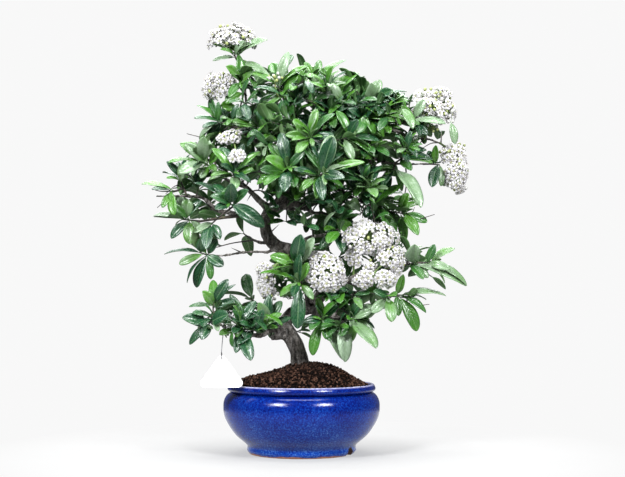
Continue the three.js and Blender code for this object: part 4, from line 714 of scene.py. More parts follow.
def make_head(name, number):
    shape = Shape()
    stalk, domes = HEADS[name]
    path = smooth_path([seen(p) for p in stalk], 4)
    add_tube(shape, path, HEAD_STALK, 8, (0.3, 0, 0), STALK_SLOT)
    bud_share = 1 if "buds" in name else BUD_SHARE.get(name, USUAL_BUD_SHARE)
    for n, dome in enumerate(domes + SIDE_DOMES.get(name, [])):
        add_dome(shape, dome, path[-1] if n == 0 else path[len(path) // 2], 300 + 10 * number + n, bud_share)
    piece = shape.piece("fine_flower_" + name, [petal_finish, centre_finish, anther_finish, stalk_finish])
    dressed(piece, "petal", "flower_" + name)


# Finishes: a node material for each, worked out from the object's own places and its look values

BACKDROP = 0.94
# The heights between which the glaze's shade changes, and the radii between which the soil gets darker
# towards the axis
SHADE_START, SHADE_END = 6, 72
DARKER_START, DARKER_END = 12, 55
# Where bare clay ends on the pot's foot, underside and inner lip, where that lip starts, and how far the
# worn edge reaches from the pot's top: each a limit and half the width of its blur
FOOT_CLAY_HEIGHT, UNDERSIDE_RADIUS, INNER_LIP_RADIUS = (1.5, 0.3), (54, 0.5), (81.1, 0.3)
INNER_LIP_HEIGHT, WORN_EDGE = (75, 0.5), (1.35, 0.85)
CLAY_RIPPLE = 1.4


class Value:
    """What a finish's node gives. A sum or a product of it is a further node."""

    def __init__(self, finish, socket):
        self.finish, self.socket = finish, socket

    def __add__(self, other):
        return self.finish.math("ADD", self, other)

    def __mul__(self, other):
        return self.finish.math("MULTIPLY", self, other)

    def parts(self):
        """The three numbers of a vector."""
        split = self.finish.node("ShaderNodeSeparateXYZ", {0: self})
        return [Value(self.finish, socket) for socket in split.socket.node.outputs]


class Finish:
    """A node material, with short calls for its nodes."""

    def __init__(self, name):
        self.material = bpy.data.materials.new(name)
        self.material.use_nodes = True
        self.tree = self.material.node_tree

    def give(self, node, values):
        for name, value in values.items():
            if isinstance(value, Value):
                self.tree.links.new(value.socket, node.inputs[name])
            else:
                node.inputs[name].default_value = value

    def node(self, kind, values, output=0, **settings):
        made = self.tree.nodes.new(kind)
        for name, setting in settings.items():
            setattr(made, name, setting)
        self.give(made, values)
        return Value(self, made.outputs[output])

    def look(self):
        """The three numbers kept at each point of the piece."""
        return self.node("ShaderNodeAttribute", {}, "Vector", attribute_name="look").parts()

    def place(self, stretch=(1, 1, 1)):
        whole = self.node("ShaderNodeTexCoord", {}, "Object")
        return self.node("ShaderNodeMapping", {"Vector": whole, "Scale": stretch})

    def noise(self, scale, detail=3.0, roughness=0.6, stretch=(1, 1, 1)):
        return self.node("ShaderNodeTexNoise", {"Vector": self.place(stretch), "Scale": scale,
                                                "Detail": detail, "Roughness": roughness})

    def math(self, operation, a, b=0.0, clamp=False):
        return self.node("ShaderNodeMath", {0: a, 1: b}, operation=operation, use_clamp=clamp)

    def vector(self, operation, a, b=(0, 0, 0), output=0):
        return self.node("ShaderNodeVectorMath", {0: a, 1: b}, output, operation=operation)

    def span(self, value, low, high, to_low=0.0, to_high=1.0):
        """A value stretched from one span to another, and kept inside it."""
        return self.node("ShaderNodeMapRange", {"Value": value, "From Min": low, "From Max": high,
                                                "To Min": to_low, "To Max": to_high})

    def past(self, value, limit, blur, below=0.0, above=1.0):
        """One number below a limit in millimetres, and another above it."""
        return self.span(value, (limit - blur) * MM, (limit + blur) * MM, below, above)

    def vary(self, scale, low, high, detail=3.0, roughness=0.6):
        """A noise that stays between two numbers."""
        return self.span(self.noise(scale, detail, roughness), 0.3, 0.7, low, high)

    def ramp(self, value, stops):
        made = self.node("ShaderNodeValToRGB", {0: value})
        elements = made.socket.node.color_ramp.elements
        while len(elements) < len(stops):
            elements.new(0.5)
        for element, (place, colour) in zip(elements, stops.items()):
            element.position = place
            element.color = (*colour, 1)
        return made

    def blend(self, share, a, b):
        a, b = ((*colour, 1) if isinstance(colour, tuple) else colour for colour in (a, b))
        return self.node("ShaderNodeMix", {0: share, 6: a, 7: b}, 2, data_type="RGBA")

    def bump(self, height, distance, strength):
        return self.node("ShaderNodeBump", {"Height": height, "Distance": distance, "Strength": strength})

    def made(self, **values):
        """The material, once its shader has these values."""
        sockets = {name.replace("_", " "): value for name, value in values.items()}
        self.give(self.tree.nodes["Principled BSDF"], sockets)
        return self.material


def leaf_veins(f, side, along, sharpness):
    """Side veins, which run from the rib towards the tip."""
    slant = f.math("SUBTRACT", along * 9.0, side * 2.4)
    return f.math("POWER", f.math("ABSOLUTE", f.math("SINE", slant * math.pi)), sharpness)


def leaf_top():
    f = Finish("leaf_top")
    tone, across, along = f.look()
    shade = f.math("ADD", tone, f.vary(70, -0.09, 0.09), clamp=True)
    green = f.ramp(shade, {0: (0.002, 0.021, 0.007), 0.2: (0.008, 0.06, 0.02), 0.4: (0.027, 0.112, 0.017),
                           0.58: (0.045, 0.165, 0.012), 0.7: (0.065, 0.2, 0.014), 0.82: (0.14, 0.23, 0.11),
                           1: (0.25, 0.34, 0.22)})
    side = f.math("ABSOLUTE", across)
    # The pale edge is partly the leaf's own margin and partly a painted rim highlight.
    rib, pale_edge_and_rim_highlight = f.span(side, 0.02, 0.09, 1.0, 0.0), f.span(side, 0.93, 0.985, 0.0, 0.25)
    veins = leaf_veins(f, side, along, 10.0)
    pale = f.blend(0.55, green, (0.24, 0.38, 0.18))
    lines = f.math("MAXIMUM", f.math("MAXIMUM", rib * 0.7, veins * 0.14), pale_edge_and_rim_highlight)
    return f.made(Base_Color=f.blend(lines, green, pale),
                  Roughness=f.span(f.noise(240, 3, 0.7), 0.32, 0.68, 0.15, 0.5), Specular_IOR_Level=0.5,
                  Coat_Weight=0.4, Coat_Roughness=0.22, Coat_Tint=(0.9, 0.96, 1, 1),
                  Normal=f.bump(veins * -0.4 + f.noise(260, 4, 0.7), 0.0007, 0.55))


def leaf_under():
    f = Finish("leaf_under")
    tone, across, along = f.look()
    green = f.ramp(tone, {0: (0.025, 0.085, 0.022), 0.5: (0.06, 0.16, 0.04), 1: (0.2, 0.33, 0.14)})
    side = f.math("ABSOLUTE", across)
    veins = leaf_veins(f, side, along, 8.0)
    lines = f.math("MAXIMUM", f.span(side, 0.04, 0.16, 1.0, 0.0) * 0.7, veins * 0.3)
    colour = f.blend(lines, green, (0.27, 0.38, 0.21))
    blotches = f.span(f.noise(120), 0.35, 0.65, 0.0, 0.3)
    return f.made(Base_Color=f.blend(blotches, colour, (0.04, 0.1, 0.035)), Roughness=f.vary(200, 0.5, 0.7),
                  Specular_IOR_Level=0.25, Normal=f.bump(veins, 0.0004, 0.5))


def petal():
    f = Finish("petal")
    tone, along, _ = f.look()
    # Darker towards the base: partly the petal's yellow-green base, partly painted shade. The noise below
    # blends in patches of painted shadow.
    white = f.ramp(along, {0: (0.3, 0.35, 0.17), 0.3: (0.54, 0.54, 0.5), 0.7: (0.7, 0.69, 0.71)})
    shadow = f.span(f.noise(260), 0.42, 0.62) * 0.5
    return f.made(Base_Color=f.blend(shadow, white, (0.36, 0.34, 0.4)), Sheen_Weight=0.1,
                  Roughness=f.span(tone, 0, 1, 0.5, 0.65), Normal=f.bump(f.noise(900, 2), 0.0002, 0.3))


def floret_centre():
    f = Finish("floret_centre")
    shade = f.look()[0] + f.vary(700, -0.3, 0.3)
    colour = f.ramp(shade, {0.1: (0.26, 0.31, 0.1), 0.5: (0.42, 0.45, 0.2), 0.9: (0.58, 0.57, 0.36)})
    return f.made(Base_Color=colour, Roughness=f.vary(500, 0.45, 0.65))


def anther():
    f = Finish("anther")
    colour = f.ramp(f.look()[0], {0: (0.1, 0.06, 0.05), 0.4: (0.34, 0.25, 0.17), 1: (0.66, 0.56, 0.38)})
    return f.made(Base_Color=colour, Roughness=f.vary(900, 0.6, 0.8))


def green_stalk():
    f = Finish("green_stalk")
    colour = f.ramp(f.noise(160), {0.3: (0.09, 0.16, 0.04), 0.55: (0.16, 0.25, 0.07),
                                   0.75: (0.24, 0.2, 0.09)})
    return f.made(Base_Color=colour, Roughness=f.vary(300, 0.5, 0.7))


def bark():
    f = Finish("bark")
    broad = f.noise(90, 5, 0.75, (1, 1, 0.5))
    streaks = f.noise(220, 4, 0.7, (1, 1, 0.22))
    spots = f.noise(330, 3, 0.6, (1, 1, 1.6))
    colour = f.ramp(broad, {0.34: (0.012, 0.011, 0.01), 0.43: (0.065, 0.06, 0.055), 0.52: (0.19, 0.17, 0.155),
                            0.64: (0.46, 0.43, 0.41)})
    # Where the relief is deepest the bark is darkened: its dark fissures, with painted shade in them.
    cracks, moss = f.span(f.look()[0], -0.5, 0.2, 1.0, 0.0), f.span(f.noise(28), 0.56, 0.72)
    for share, tint in ((cracks * 0.85, (0.01, 0.009, 0.008)),
                        (f.span(streaks, 0.36, 0.44, 1.0, 0.0) * 0.8, (0.008, 0.007, 0.006)),
                        (f.span(streaks, 0.56, 0.64) * 0.5, (0.32, 0.31, 0.3)),
                        (f.span(spots, 0.62, 0.68) * 0.6, (0.5, 0.48, 0.46)),
                        (moss * 0.35, (0.07, 0.08, 0.035))):
        colour = f.blend(share, colour, tint)
    height = f.noise(400, 4, 0.7, (1, 1, 0.5)) + (spots + streaks)
    return f.made(Base_Color=colour, Roughness=f.span(broad, 0.3, 0.7, 0.7, 0.95), Specular_IOR_Level=0.15,
                  Normal=f.bump(height, 0.0012, 0.9))


def twig():
    f = Finish("twig")
    shade = f.look()[0] + f.vary(70, -0.4, 0.4, 4)
    colour = f.ramp(shade, {0.2: (0.012, 0.01, 0.009), 0.5: (0.042, 0.033, 0.028), 0.75: (0.1, 0.08, 0.06),
                            0.95: (0.17, 0.16, 0.08)})
    return f.made(Base_Color=colour, Roughness=f.vary(200, 0.6, 0.85),
                  Normal=f.bump(f.noise(420, 4, 0.7), 0.0006, 0.7))


def glaze():
    f = Finish("glaze")
    height, radius = f.place().parts()[2], pot_radius(f)
    speckle, cloud = f.noise(560, 3, 0.7), f.noise(26, 4)
    shade = f.span(cloud, 0.3, 0.7, -0.16, 0.16) + f.span(speckle, 0.36, 0.64, -0.42, 0.42)
    blue = f.ramp(f.span(height, SHADE_START * MM, SHADE_END * MM, 0.68, 0.2) + shade,
                  {0: (0.0005, 0.004, 0.08), 0.35: (0.001, 0.012, 0.16), 0.6: (0.002, 0.03, 0.225),
                   0.85: (0.008, 0.05, 0.25), 1: (0.04, 0.11, 0.35)})
    from_top = f.math("ABSOLUTE", f.math("SUBTRACT", height, POT_HEIGHT * MM))
    edge = f.past(from_top, *WORN_EDGE, 1.0, 0.0) * f.span(f.noise(150, 2), 0.3, 0.6, 0.45, 0.9)
    clay = f.ramp(f.noise(260, 4), {0.3: (0.2, 0.085, 0.05), 0.6: (0.36, 0.16, 0.1), 0.8: (0.47, 0.25, 0.16)})
    ripple = f.span(f.noise(26, 2), 0.35, 0.65, -CLAY_RIPPLE * MM, CLAY_RIPPLE * MM)
    foot = f.past(height + ripple, *FOOT_CLAY_HEIGHT, 1.0, 0.0)
    below = f.past(radius, *UNDERSIDE_RADIUS, 1.0, 0.0) * f.past(height, *INNER_LIP_HEIGHT, 1.0, 0.0)
    inside = f.past(radius, *INNER_LIP_RADIUS, 1.0, 0.0) * f.past(height, *INNER_LIP_HEIGHT)
    bare = f.math("MAXIMUM", foot, f.math("MAXIMUM", below, inside * 0.9))
    colour = f.blend(bare, f.blend(edge, blue, (0.42, 0.42, 0.62)), clay)
    gloss = f.span(speckle, 0.3, 0.7, 0.09, 0.18)
    # In the notches the colour is a dark clay brown: bare clay, darkened with painted shade.
    return f.made(Base_Color=f.blend(in_notch(f, height), colour, (0.045, 0.018, 0.012)),
                  Roughness=f.math("MAXIMUM", gloss, bare * 0.85), Specular_IOR_Level=0.26,
                  Normal=f.bump(cloud * 0.5 + speckle * 0.3, 0.0006, 0.7))


def from_axis(f):
    return f.vector("ADD", f.place(), tuple(-POT_AXIS))


def pot_radius(f):
    """How far a place is from the pot's axis."""
    return f.vector("LENGTH", f.vector("MULTIPLY", from_axis(f), (1, 1, 0)), output="Value")


def in_notch(f, height):
    """Whether a place is in one of the two notches of the foot."""
    azimuth = math.radians(NOTCH_AZIMUTH)
    aside = f.vector("DOT_PRODUCT", from_axis(f), (-math.sin(azimuth), math.cos(azimuth), 0), "Value")
    tall = height * (1 / NOTCH_RISE)
    away = f.math("SQRT", aside * aside + tall * tall)
    half = NOTCH_WIDTH / 2 * MM
    return f.span(away, 1.03 * half, 1.08 * half, 1.0, 0.0)


def soil():
    f = Finish("soil")
    shade = f.look()[0] + f.vary(420, -0.25, 0.25)
    brown = f.ramp(shade, {0.05: (0.001, 0.0006, 0.0005), 0.4: (0.005, 0.0026, 0.0018),
                           0.75: (0.032, 0.015, 0.01), 1: (0.085, 0.044, 0.03)})
    # The soil is darker towards the pot's axis.
    darker_inward = f.span(pot_radius(f), DARKER_START * MM, DARKER_END * MM, 0.55, 0.0)
    return f.made(Base_Color=f.blend(darker_inward, brown, (0.012, 0.008, 0.006)), Roughness=f.vary(600, 0.85, 1.0),
                  Specular_IOR_Level=0.08, Normal=f.bump(f.noise(1500), 0.0004, 0.6))


def card_white():
    f = Finish("card_white")
    fibre = f.noise(260, 4, 0.7)
    colour = f.ramp(fibre, {0.3: (0.9, 0.9, 0.91), 0.7: (0.96, 0.96, 0.96)})
    return f.made(Base_Color=colour, Roughness=f.span(fibre, 0.3, 0.7, 0.42, 0.55),
                  Normal=f.bump(fibre, 0.0002, 0.25))


def wire_grey():
    f = Finish("wire_grey")
    scratch = f.noise(300, 3, 0.6, (1, 1, 8))
    colour = f.ramp(scratch, {0.3: (0.05, 0.05, 0.055), 0.7: (0.13, 0.13, 0.14)})
    return f.made(Base_Color=colour, Roughness=f.span(scratch, 0.3, 0.7, 0.3, 0.5), Metallic=0.8)


def floor_white():
    """Lit by the lights near the pot, and further out as bright by itself as the backdrop."""
    f = Finish("floor_white")
    cloth = f.noise(6, 2)
    far = f.span(f.vector("LENGTH", f.place(), output="Value"), LIT_FLOOR, PLAIN_FLOOR)
    lit = f.ramp(cloth, {0.3: (0.215, 0.215, 0.215), 0.7: (0.225, 0.225, 0.225)})
    return f.made(Base_Color=f.blend(far, lit, (0, 0, 0)), Roughness=f.span(cloth, 0.3, 0.7, 0.85, 0.95),
                  Emission_Color=f.blend(far, (0.36, 0.36, 0.36), (BACKDROP, BACKDROP, BACKDROP)),
                  Emission_Strength=1.0, Specular_IOR_Level=0.0)


# Wood: the trunk and the thick limbs are fused in one skin with bark relief, and the thin ones are
# tubes that start inside it.

# The bark skin's grid, and the width from which a limb is part of that skin
BARK_VOXEL, THICK = 1.3, 6.0
THICK_STEP, THIN_STEP, SLIMMING, LEAST_RADIUS = 2.2, 3, 0.85, 0.7
TRUNK_SWAY, LIMB_SWAY = 0.015, 0.06
THICK_SIDES, THIN_SIDES, THORN_SIDES, TWIG_SIDES = 14, 8, 7, 6
THORN_RADII, BARE_TWIG_RADII = (1.1, 0.12), (0.85, 0.4)

# Thorns as root and point, and thin bare twigs as points, each x, y, z
THORNS = [
    [(-38, -3, 270), (-27, -6, 280)], [(-72, -12, 246), (-85, -16, 252)],
    [(-60, -12, 318), (-66, -20, 308)], [(24, -6, 335), (30, -12, 345)], [(22, 2, 208), (33, -6, 215)],
    [(60, -4, 396), (66, -10, 405)], [(-64, -6, 290), (-58, -12, 300)], [(-12, 8, 352), (-20, 18, 358)],
    [(28, -8, 172), (22, -14, 180)], [(-28, -5, 153), (-33, -10, 163)], [(100, -6, 395), (106, -2, 404)],
    [(8, 6, 380), (2, 14, 388)],
]
BARE_TWIGS = [
    [(124, -6, 292), (133, -7, 284), (147, -8, 288), (160, -8, 292)],
    [(119, -24, 195), (140, -25, 184), (153, -25, 184)],
    [(-143, -17, 322), (-151, -20, 327), (-164, -21, 317)],
    [(-158, -30, 320), (-170, -30, 320), (-181, -30, 323)],
    [(-157, -15, 314), (-166, -16, 307), (-174, -16, 300)],
    [(-86, -10, 295), (-89, -13, 306), (-97, -15, 317), (-109, -16, 325)],
    [(-104, -20, 343), (-106, -16, 366), (-118, -14, 383), (-139, -14, 390)],
    [(87, -8, 359), (79, -11, 361), (70, -13, 366)], [(119, -6, 392), (114, -8, 384), (111, -9, 376)],
    [(167, 0, 379), (156, -3, 378), (144, -5, 371)], [(148, -3, 385), (144, -5, 380), (141, -6, 374)],
    [(124, -6, 293), (132, -6, 293), (136, -7, 301)],
]


def shrunk(place, x, y, z, shift=(0, 0, 0)):
    """A place in a noise that is so much larger along x, y and z."""
    return Vector((place.x / x, place.y / y, place.z / z)) + Vector(shift)


def bark_relief(place):
    """The height of the bark's long plates, fine grain and cracks at a place."""
    p = Vector(place) / MM
    plates = noise.fractal(shrunk(p, 7, 7, 16), 0.8, 2.1, 4)
    grain = noise.fractal(shrunk(p, 2.1, 2.1, 3.2, (7, 3, 1)), 0.7, 2.2, 3)
    ridge = abs(noise.noise(shrunk(p, 4, 4, 11, (2, 9, 4))))
    return 0.55 * plates + 0.22 * grain - 0.35 * max(0, 0.12 - ridge) / 0.12


def tones(count, least, spread, key, kind):
    """A look value for each point of a twig's path."""
    return np.array([[least + spread * chance(key, i, kind), 0, 0] for i in range(count)])


def make_wood():
    thick, thin = Shape(), Shape()
    for number, rows in enumerate(LIMBS):
        is_thick = max(row[3] for row in rows) >= THICK
        path = smooth_path([[*seen(p), p[3] / 2] for p in rows], THICK_STEP if is_thick else THIN_STEP)
        path, radii, i = path[:, :3], path[:, 3], np.arange(len(path))
        sway = TRUNK_SWAY if number == 0 else LIMB_SWAY
        wobble = 1 + sway * (np.sin(0.9 * i + number) + np.sin(0.37 * i))
        if is_thick:
            add_tube(thick, path, radii * wobble, THICK_SIDES)
        else:
            add_tube(thin, path, np.maximum(LEAST_RADIUS, radii * SLIMMING) * wobble, THIN_SIDES,
                     tones(len(path), 0.3, 0.3, number, 2))
    for root, point in THORNS:
        path = smooth_path([seen(root), mix(seen(root), seen(point), 0.5), seen(point)], 2)
        add_tube(thin, path, THORN_RADII, THORN_SIDES, (0.55, 0, 0))
    for rows in BARE_TWIGS:
        path = smooth_path([seen(p) for p in rows], 2.5)
        add_tube(thin, path, BARE_TWIG_RADII, TWIG_SIDES, tones(len(path), 0.2, 0.35, rows[0][0], 3))
    rough = thick.piece("rough_wood", [])
    fuse, relax = rough.modifiers.new("fuse", "REMESH"), rough.modifiers.new("relax", "SMOOTH")
    fuse.mode = "VOXEL"
    fuse.voxel_size = BARK_VOXEL * MM
    relax.iterations = 3
    relax.factor = 0.5
    trunk = taken(rough, "fine_trunk", bark_finish)
    mesh = trunk.data
    heights = [bark_relief(v.co) for v in mesh.vertices]
    normals = [v.normal.copy() for v in mesh.vertices]
    for v, height, normal in zip(mesh.vertices, heights, normals):
        v.co += normal * height * MM
    set_look(mesh, np.repeat(heights, 3))
    mesh.shade_smooth()
    dressed(trunk, "bark", "wood")
    dressed(thin.piece("fine_twigs", [twig_finish]), "bark")


# Pot: turned to a smooth outline, with the notches of its foot and its drain holes cut out. An
# outline is a list of points of radius and height.

POT_WIDTH, POT_HEIGHT, LIP_WIDTH, FOOT_WIDTH, FOOT_HEIGHT = 186.0, 82.0, 177.0, 124.0, 10.0
POT_WALL, UNDERSIDE, FLOOR_TOP = 5.7, 5.0, 13.0
DRAIN_RADIUS, DRAIN_CIRCLE, DRAINS, DRAIN_DEPTH, DRAIN_SIDES = 7.0, 28.0, 3, 40, 40
NOTCH_WIDTH, NOTCH_RISE, NOTCH_AZIMUTH, NOTCH_DEPTH, NOTCH_SIDES = 14.0, 1.35, -27.5, 24, 32
BELLY, LIP, FOOT = POT_WIDTH / 2, LIP_WIDTH / 2, FOOT_WIDTH / 2
POT_TURNS, SOIL_TURNS, SHARP_ANGLE = 128, 72, 42


def rounded(points, radius, steps=4):
    """An outline with its inner corners rounded off."""
    out = [points[0]]
    for before, corner, after in zip(points, points[1:], points[2:]):
        before, corner, after = map(np.array, (before, corner, after))
        a, b = (corner + unit(end - corner) * min(radius, 0.45 * np.linalg.norm(end - corner))
                for end in (before, after))
        for s in np.linspace(0, 1, steps + 1):
            out.append((1 - s) ** 2 * a + 2 * s * (1 - s) * corner + s ** 2 * b)
    return out + [points[-1]]


def turned(outline, turns, name, materials):
    """A solid of revolution about the pot's axis, from an outline that starts and ends on it."""
    outline = np.array(outline, float)
    r, z = outline[1:-1, :1], outline[1:-1, 1:]
    angles, k = 2 * math.pi * np.arange(turns) / turns, np.arange(turns)
    rings = np.stack(np.broadcast_arrays(r * np.cos(angles), r * np.sin(angles), z), axis=-1)
    points = np.vstack([rings.reshape(-1, 3), [[0, 0, outline[0][1]], [0, 0, outline[-1][1]]]])
    count = len(r) * turns
    start = np.stack([(k + 1) % turns, k, np.full(turns, count)], axis=-1)
    end = np.stack([k + count - turns, (k + 1) % turns + count - turns, np.full(turns, count + 1)], axis=-1)
    shape = Shape()
    shape.add(points, [(band(len(r), turns), 0), (start, 0), (end, 0)])
    return shape.piece(name, materials)


def cutter(radius, depth, sides, place):
    """A round tool, to be taken out of the pot."""
    mesh = bmesh.new()
    bmesh.ops.create_cone(mesh, cap_ends=True, segments=sides, radius1=radius * MM, radius2=radius * MM,
                          depth=depth * MM, matrix=place)
    return linked("cutter", plain_mesh(mesh, "cutter"))


def notch_cutter(azimuth):
    turn = Matrix.Rotation(math.radians(azimuth), 4, "Z")
    place = Matrix.Translation(Vector(POT_AXIS)) @ turn @ Matrix.Translation(((FOOT - 2) * MM, 0, 0))
    lying = place @ Matrix.Rotation(math.pi / 2, 4, "Y") @ Matrix.Diagonal((NOTCH_RISE, 1, 1, 1))
    return cutter(NOTCH_WIDTH / 2, NOTCH_DEPTH, NOTCH_SIDES, lying)


def drain_cutter(number):
    turn = 2 * math.pi * number / DRAINS
    place = Vector(POT_AXIS) + Vector((math.cos(turn), math.sin(turn), 0)) * DRAIN_CIRCLE * MM
    return cutter(DRAIN_RADIUS, DRAIN_DEPTH, DRAIN_SIDES, Matrix.Translation(place))


def make_pot():
    outside = list(smooth_path([
        (FOOT + 4, FOOT_HEIGHT + 1.5), (FOOT + 18, 24), (BELLY - 2, 42), (BELLY, 56), (BELLY - 1.4, 64),
        (BELLY - 5, 69.5), (BELLY - 9.5, 72)], 2))
    inside = list(smooth_path([
        (LIP - 8, 76), (BELLY - POT_WALL, 57), (BELLY - POT_WALL - 3, 42), (FOOT + 13, 26),
        (FOOT - 4, FLOOR_TOP + 2)], 4))
    foot = rounded([(FOOT - 9, UNDERSIDE), (FOOT - 8, 0), (FOOT, 0), (FOOT + 3, 4),
                    (FOOT + 2, FOOT_HEIGHT - 1), outside[0]], 1.2)
    lip = rounded([outside[-1], (LIP - 1.6, 73.6), (LIP, 76.5), (LIP - 2.5, POT_HEIGHT),
                   (LIP - 6, POT_HEIGHT - 1), inside[0]], 2.2)
    outline = [(0, UNDERSIDE)] + foot + outside[1:-1] + lip + inside[1:] + [(0, FLOOR_TOP)]
    rough = turned(outline, POT_TURNS, "rough_pot", [])
    cutters = [notch_cutter(NOTCH_AZIMUTH + turn) for turn in (0, 180)]
    cutters += [drain_cutter(number) for number in range(DRAINS)]
    for tool in cutters:
        cut = rough.modifiers.new("cut", "BOOLEAN")
        cut.operation = "DIFFERENCE"
        cut.solver = "EXACT"
        cut.object = tool
    pot = taken(rough, "fine_pot", glaze_finish)
    for tool in cutters:
        bpy.data.objects.remove(tool)
    pot.data.shade_smooth()
    pot.data.set_sharp_from_angle(angle=math.radians(SHARP_ANGLE))
    dressed(pot, "glaze", "pot")


# Soil: a mound under thousands of small crumbs, the mound near black as painted shade between them

# The soil's radius, the height that crumbs start at and that of the ground under them
SOIL_RIM, SOIL_EDGE, SOIL_LEVEL = LIP - 8.5, 79.0, 77.5
# The mound's look value turns it near black: painted shade in the gaps between the crumbs.
MOUND_RINGS, MOUND_PAINTED_SHADE = 26, -0.3
CRUMB_SPACE, CRUMB_SHIFT, CRUMB_KINDS, FORM_SEED, CRUMB_SEED = 2.7, 0.6, 12, 5, 11
LARGE_CRUMB, SMALL_SHARE = 1.4, 0.92
# The mound's height at steps from the axis out to the pot's wall, on its right and on its left
MOUND_RIGHT = [28, 28, 26.8, 25.5, 22.5, 17.5, 11.5, 5.5, 0.5]
MOUND_LEFT = [28, 26.5, 22.5, 18.5, 15.5, 13, 11, 8, 0.5]


def soil_height(x, y):
    away = min(1.0, math.hypot(x, y) / SOIL_RIM)
    side = 0.5 + 0.5 * x / max(1.0, math.hypot(x, y))
    steps = np.linspace(0, 1, len(MOUND_RIGHT))
    return mix(np.interp(away, steps, MOUND_LEFT), np.interp(away, steps, MOUND_RIGHT), side)


def make_mound():
    wall = smooth_path([
        (FOOT - 4.8, FLOOR_TOP + 2.4), (FOOT + 12.2, 26.4), (BELLY - POT_WALL - 3.6, 42),
        (BELLY - POT_WALL - 0.6, 57), (SOIL_RIM, 75.8)], 6)
    top = [(SOIL_RIM * (1 - s), SOIL_LEVEL) for s in np.linspace(0, 1, MOUND_RINGS)]
    mound = turned([(0, FLOOR_TOP + 0.4), *wall, *top], SOIL_TURNS, "fine_soil_mound", [soil_finish])
    # The mound is painted near black, as the shade between the crumbs.
    set_look(mound.data, np.full(3 * len(mound.data.vertices), MOUND_PAINTED_SHADE))
    for v in mound.data.vertices:
        if v.co.z > (SOIL_LEVEL - 0.1) * MM:
            v.co.z += soil_height((v.co.x - POT_AXIS[0]) / MM, (v.co.y - POT_AXIS[1]) / MM) * MM
    dressed(mound, "soil", "soil")


def make_crumbs():
    points, faces = ball(1)
    source = np.random.RandomState(FORM_SEED)
    forms = [points * source.uniform(0.72, 1.18, (len(points), 1)) for _ in range(CRUMB_KINDS)]
    source = np.random.RandomState(CRUMB_SEED)
    crumbs = Shape()
    steps = int(2 * SOIL_RIM / CRUMB_SPACE)
    for i in range(steps):
        for j in range(steps):
            x = (i + 0.5 * (j % 2)) * CRUMB_SPACE - SOIL_RIM + source.uniform(-CRUMB_SHIFT, CRUMB_SHIFT)
            y = j * CRUMB_SPACE - SOIL_RIM + source.uniform(-CRUMB_SHIFT, CRUMB_SHIFT)
            size = source.uniform(0.85, 1.6) * (LARGE_CRUMB if source.uniform() > SMALL_SHARE else 1)
            tone, deep = source.uniform(0.1, 1.1), source.uniform(-1.2, 0.9)
            form = forms[source.randint(CRUMB_KINDS)] * source.uniform(0.8, 1.25, 3)
            if math.hypot(x, y) <= SOIL_RIM - 0.8:
                place = vector(x, y, SOIL_EDGE + soil_height(x, y) + deep)
                crumbs.add(form * size + place, faces, (tone, 0, 0))
    dressed(crumbs.piece("fine_soil_crumbs", [soil_finish], smooth=False), "soil")


# Card and wire

CARD_WIDTH, CARD_HEIGHT, CARD_THICKNESS, CARD_CORNER, CARD_BEVEL = 48.0, 36.0, 0.8, 5.0, 0.12
HOLE_RADIUS, HOLE_HEIGHT = 1.7, 32.4
CARD_FOOT = (-95.5, -62, 85)
WIRE_WIDTH, TOUCH_GAP = 0.9, 0.3
WIRE_BRANCH = (-93, -48, 157)
HOOK_DEPTH, HOOK_HEIGHT = 4.0, 4.4
# The wire's bends over the branch and through the card's hole, as shares of the hook's size
HOOK = [(0.6, -1), (1, -0.3), (0.8, 0.7), (0, 1), (-0.8, 0.7), (-1, -0.3)]
LOOP = [(-0.6, 2), (-0.5, 0.4), (-0.3, 0), (0.3, 0), (0.5, 0.4), (0.5, 1.4)]


def arc(x, z, radius, start, end, steps):
    return [(x + radius * math.cos(a), z + radius * math.sin(a)) for a in np.linspace(start, end, steps)]


def make_card():
    x = CARD_WIDTH / 2 - CARD_CORNER
    lean = math.atan2(x, CARD_HEIGHT - 2 * CARD_CORNER)
    outline = (arc(x, CARD_CORNER, CARD_CORNER, -math.pi / 2, lean, 14)
               + arc(0, CARD_HEIGHT - CARD_CORNER, CARD_CORNER, lean, math.pi - lean, 16)
               + arc(-x, CARD_CORNER, CARD_CORNER, math.pi - lean, 1.5 * math.pi, 14))
    curve = bpy.data.curves.new("card_outline", "CURVE")
    curve.dimensions, curve.fill_mode = "2D", "BOTH"
    curve.extrude = (CARD_THICKNESS / 2 - CARD_BEVEL) * MM
    curve.bevel_depth, curve.bevel_resolution = CARD_BEVEL * MM, 2
    for loop in (outline, arc(0, HOLE_HEIGHT, HOLE_RADIUS, 2 * math.pi, 0.2, 24)):
        spline = curve.splines.new("POLY")
        spline.points.add(len(loop) - 1)
        for point, (a, b) in zip(spline.points, loop):
            point.co = (a * MM, b * MM, 0, 1)
        spline.use_cyclic_u = True
    card = taken(linked("card_curve", curve), "fine_card", card_finish)
    foot = Matrix.Translation(Vector(seen(CARD_FOOT) * MM + POT_AXIS))
    card.data.transform(foot @ Matrix.Rotation(math.pi / 2, 4, "X"))
    dressed(card, "card", "label_card")


def make_wire():
    through = seen(CARD_FOOT) + vector(0, 0, HOLE_HEIGHT + HOLE_RADIUS - TOUCH_GAP - WIRE_WIDTH / 2)
    rows = [place + vector(0, y * HOOK_DEPTH, z * HOOK_HEIGHT)
            for place, bends in ((seen(WIRE_BRANCH), HOOK), (through, LOOP)) for y, z in bends]
    shape = Shape()
    add_tube(shape, smooth_path(rows, 0.7), WIRE_WIDTH / 2, 10)
    dressed(shape.piece("fine_wire", [wire_finish]), "wire", "label_wire")


# Sprays: the leaves of the CAD sprays, more leaves among them, and young ones at the twigs' ends

MORE_LEAVES, YOUNG_LEAVES = 5, 4
TWIG_RADII, TWIG_SLOT = (1.25, 0.8), 2
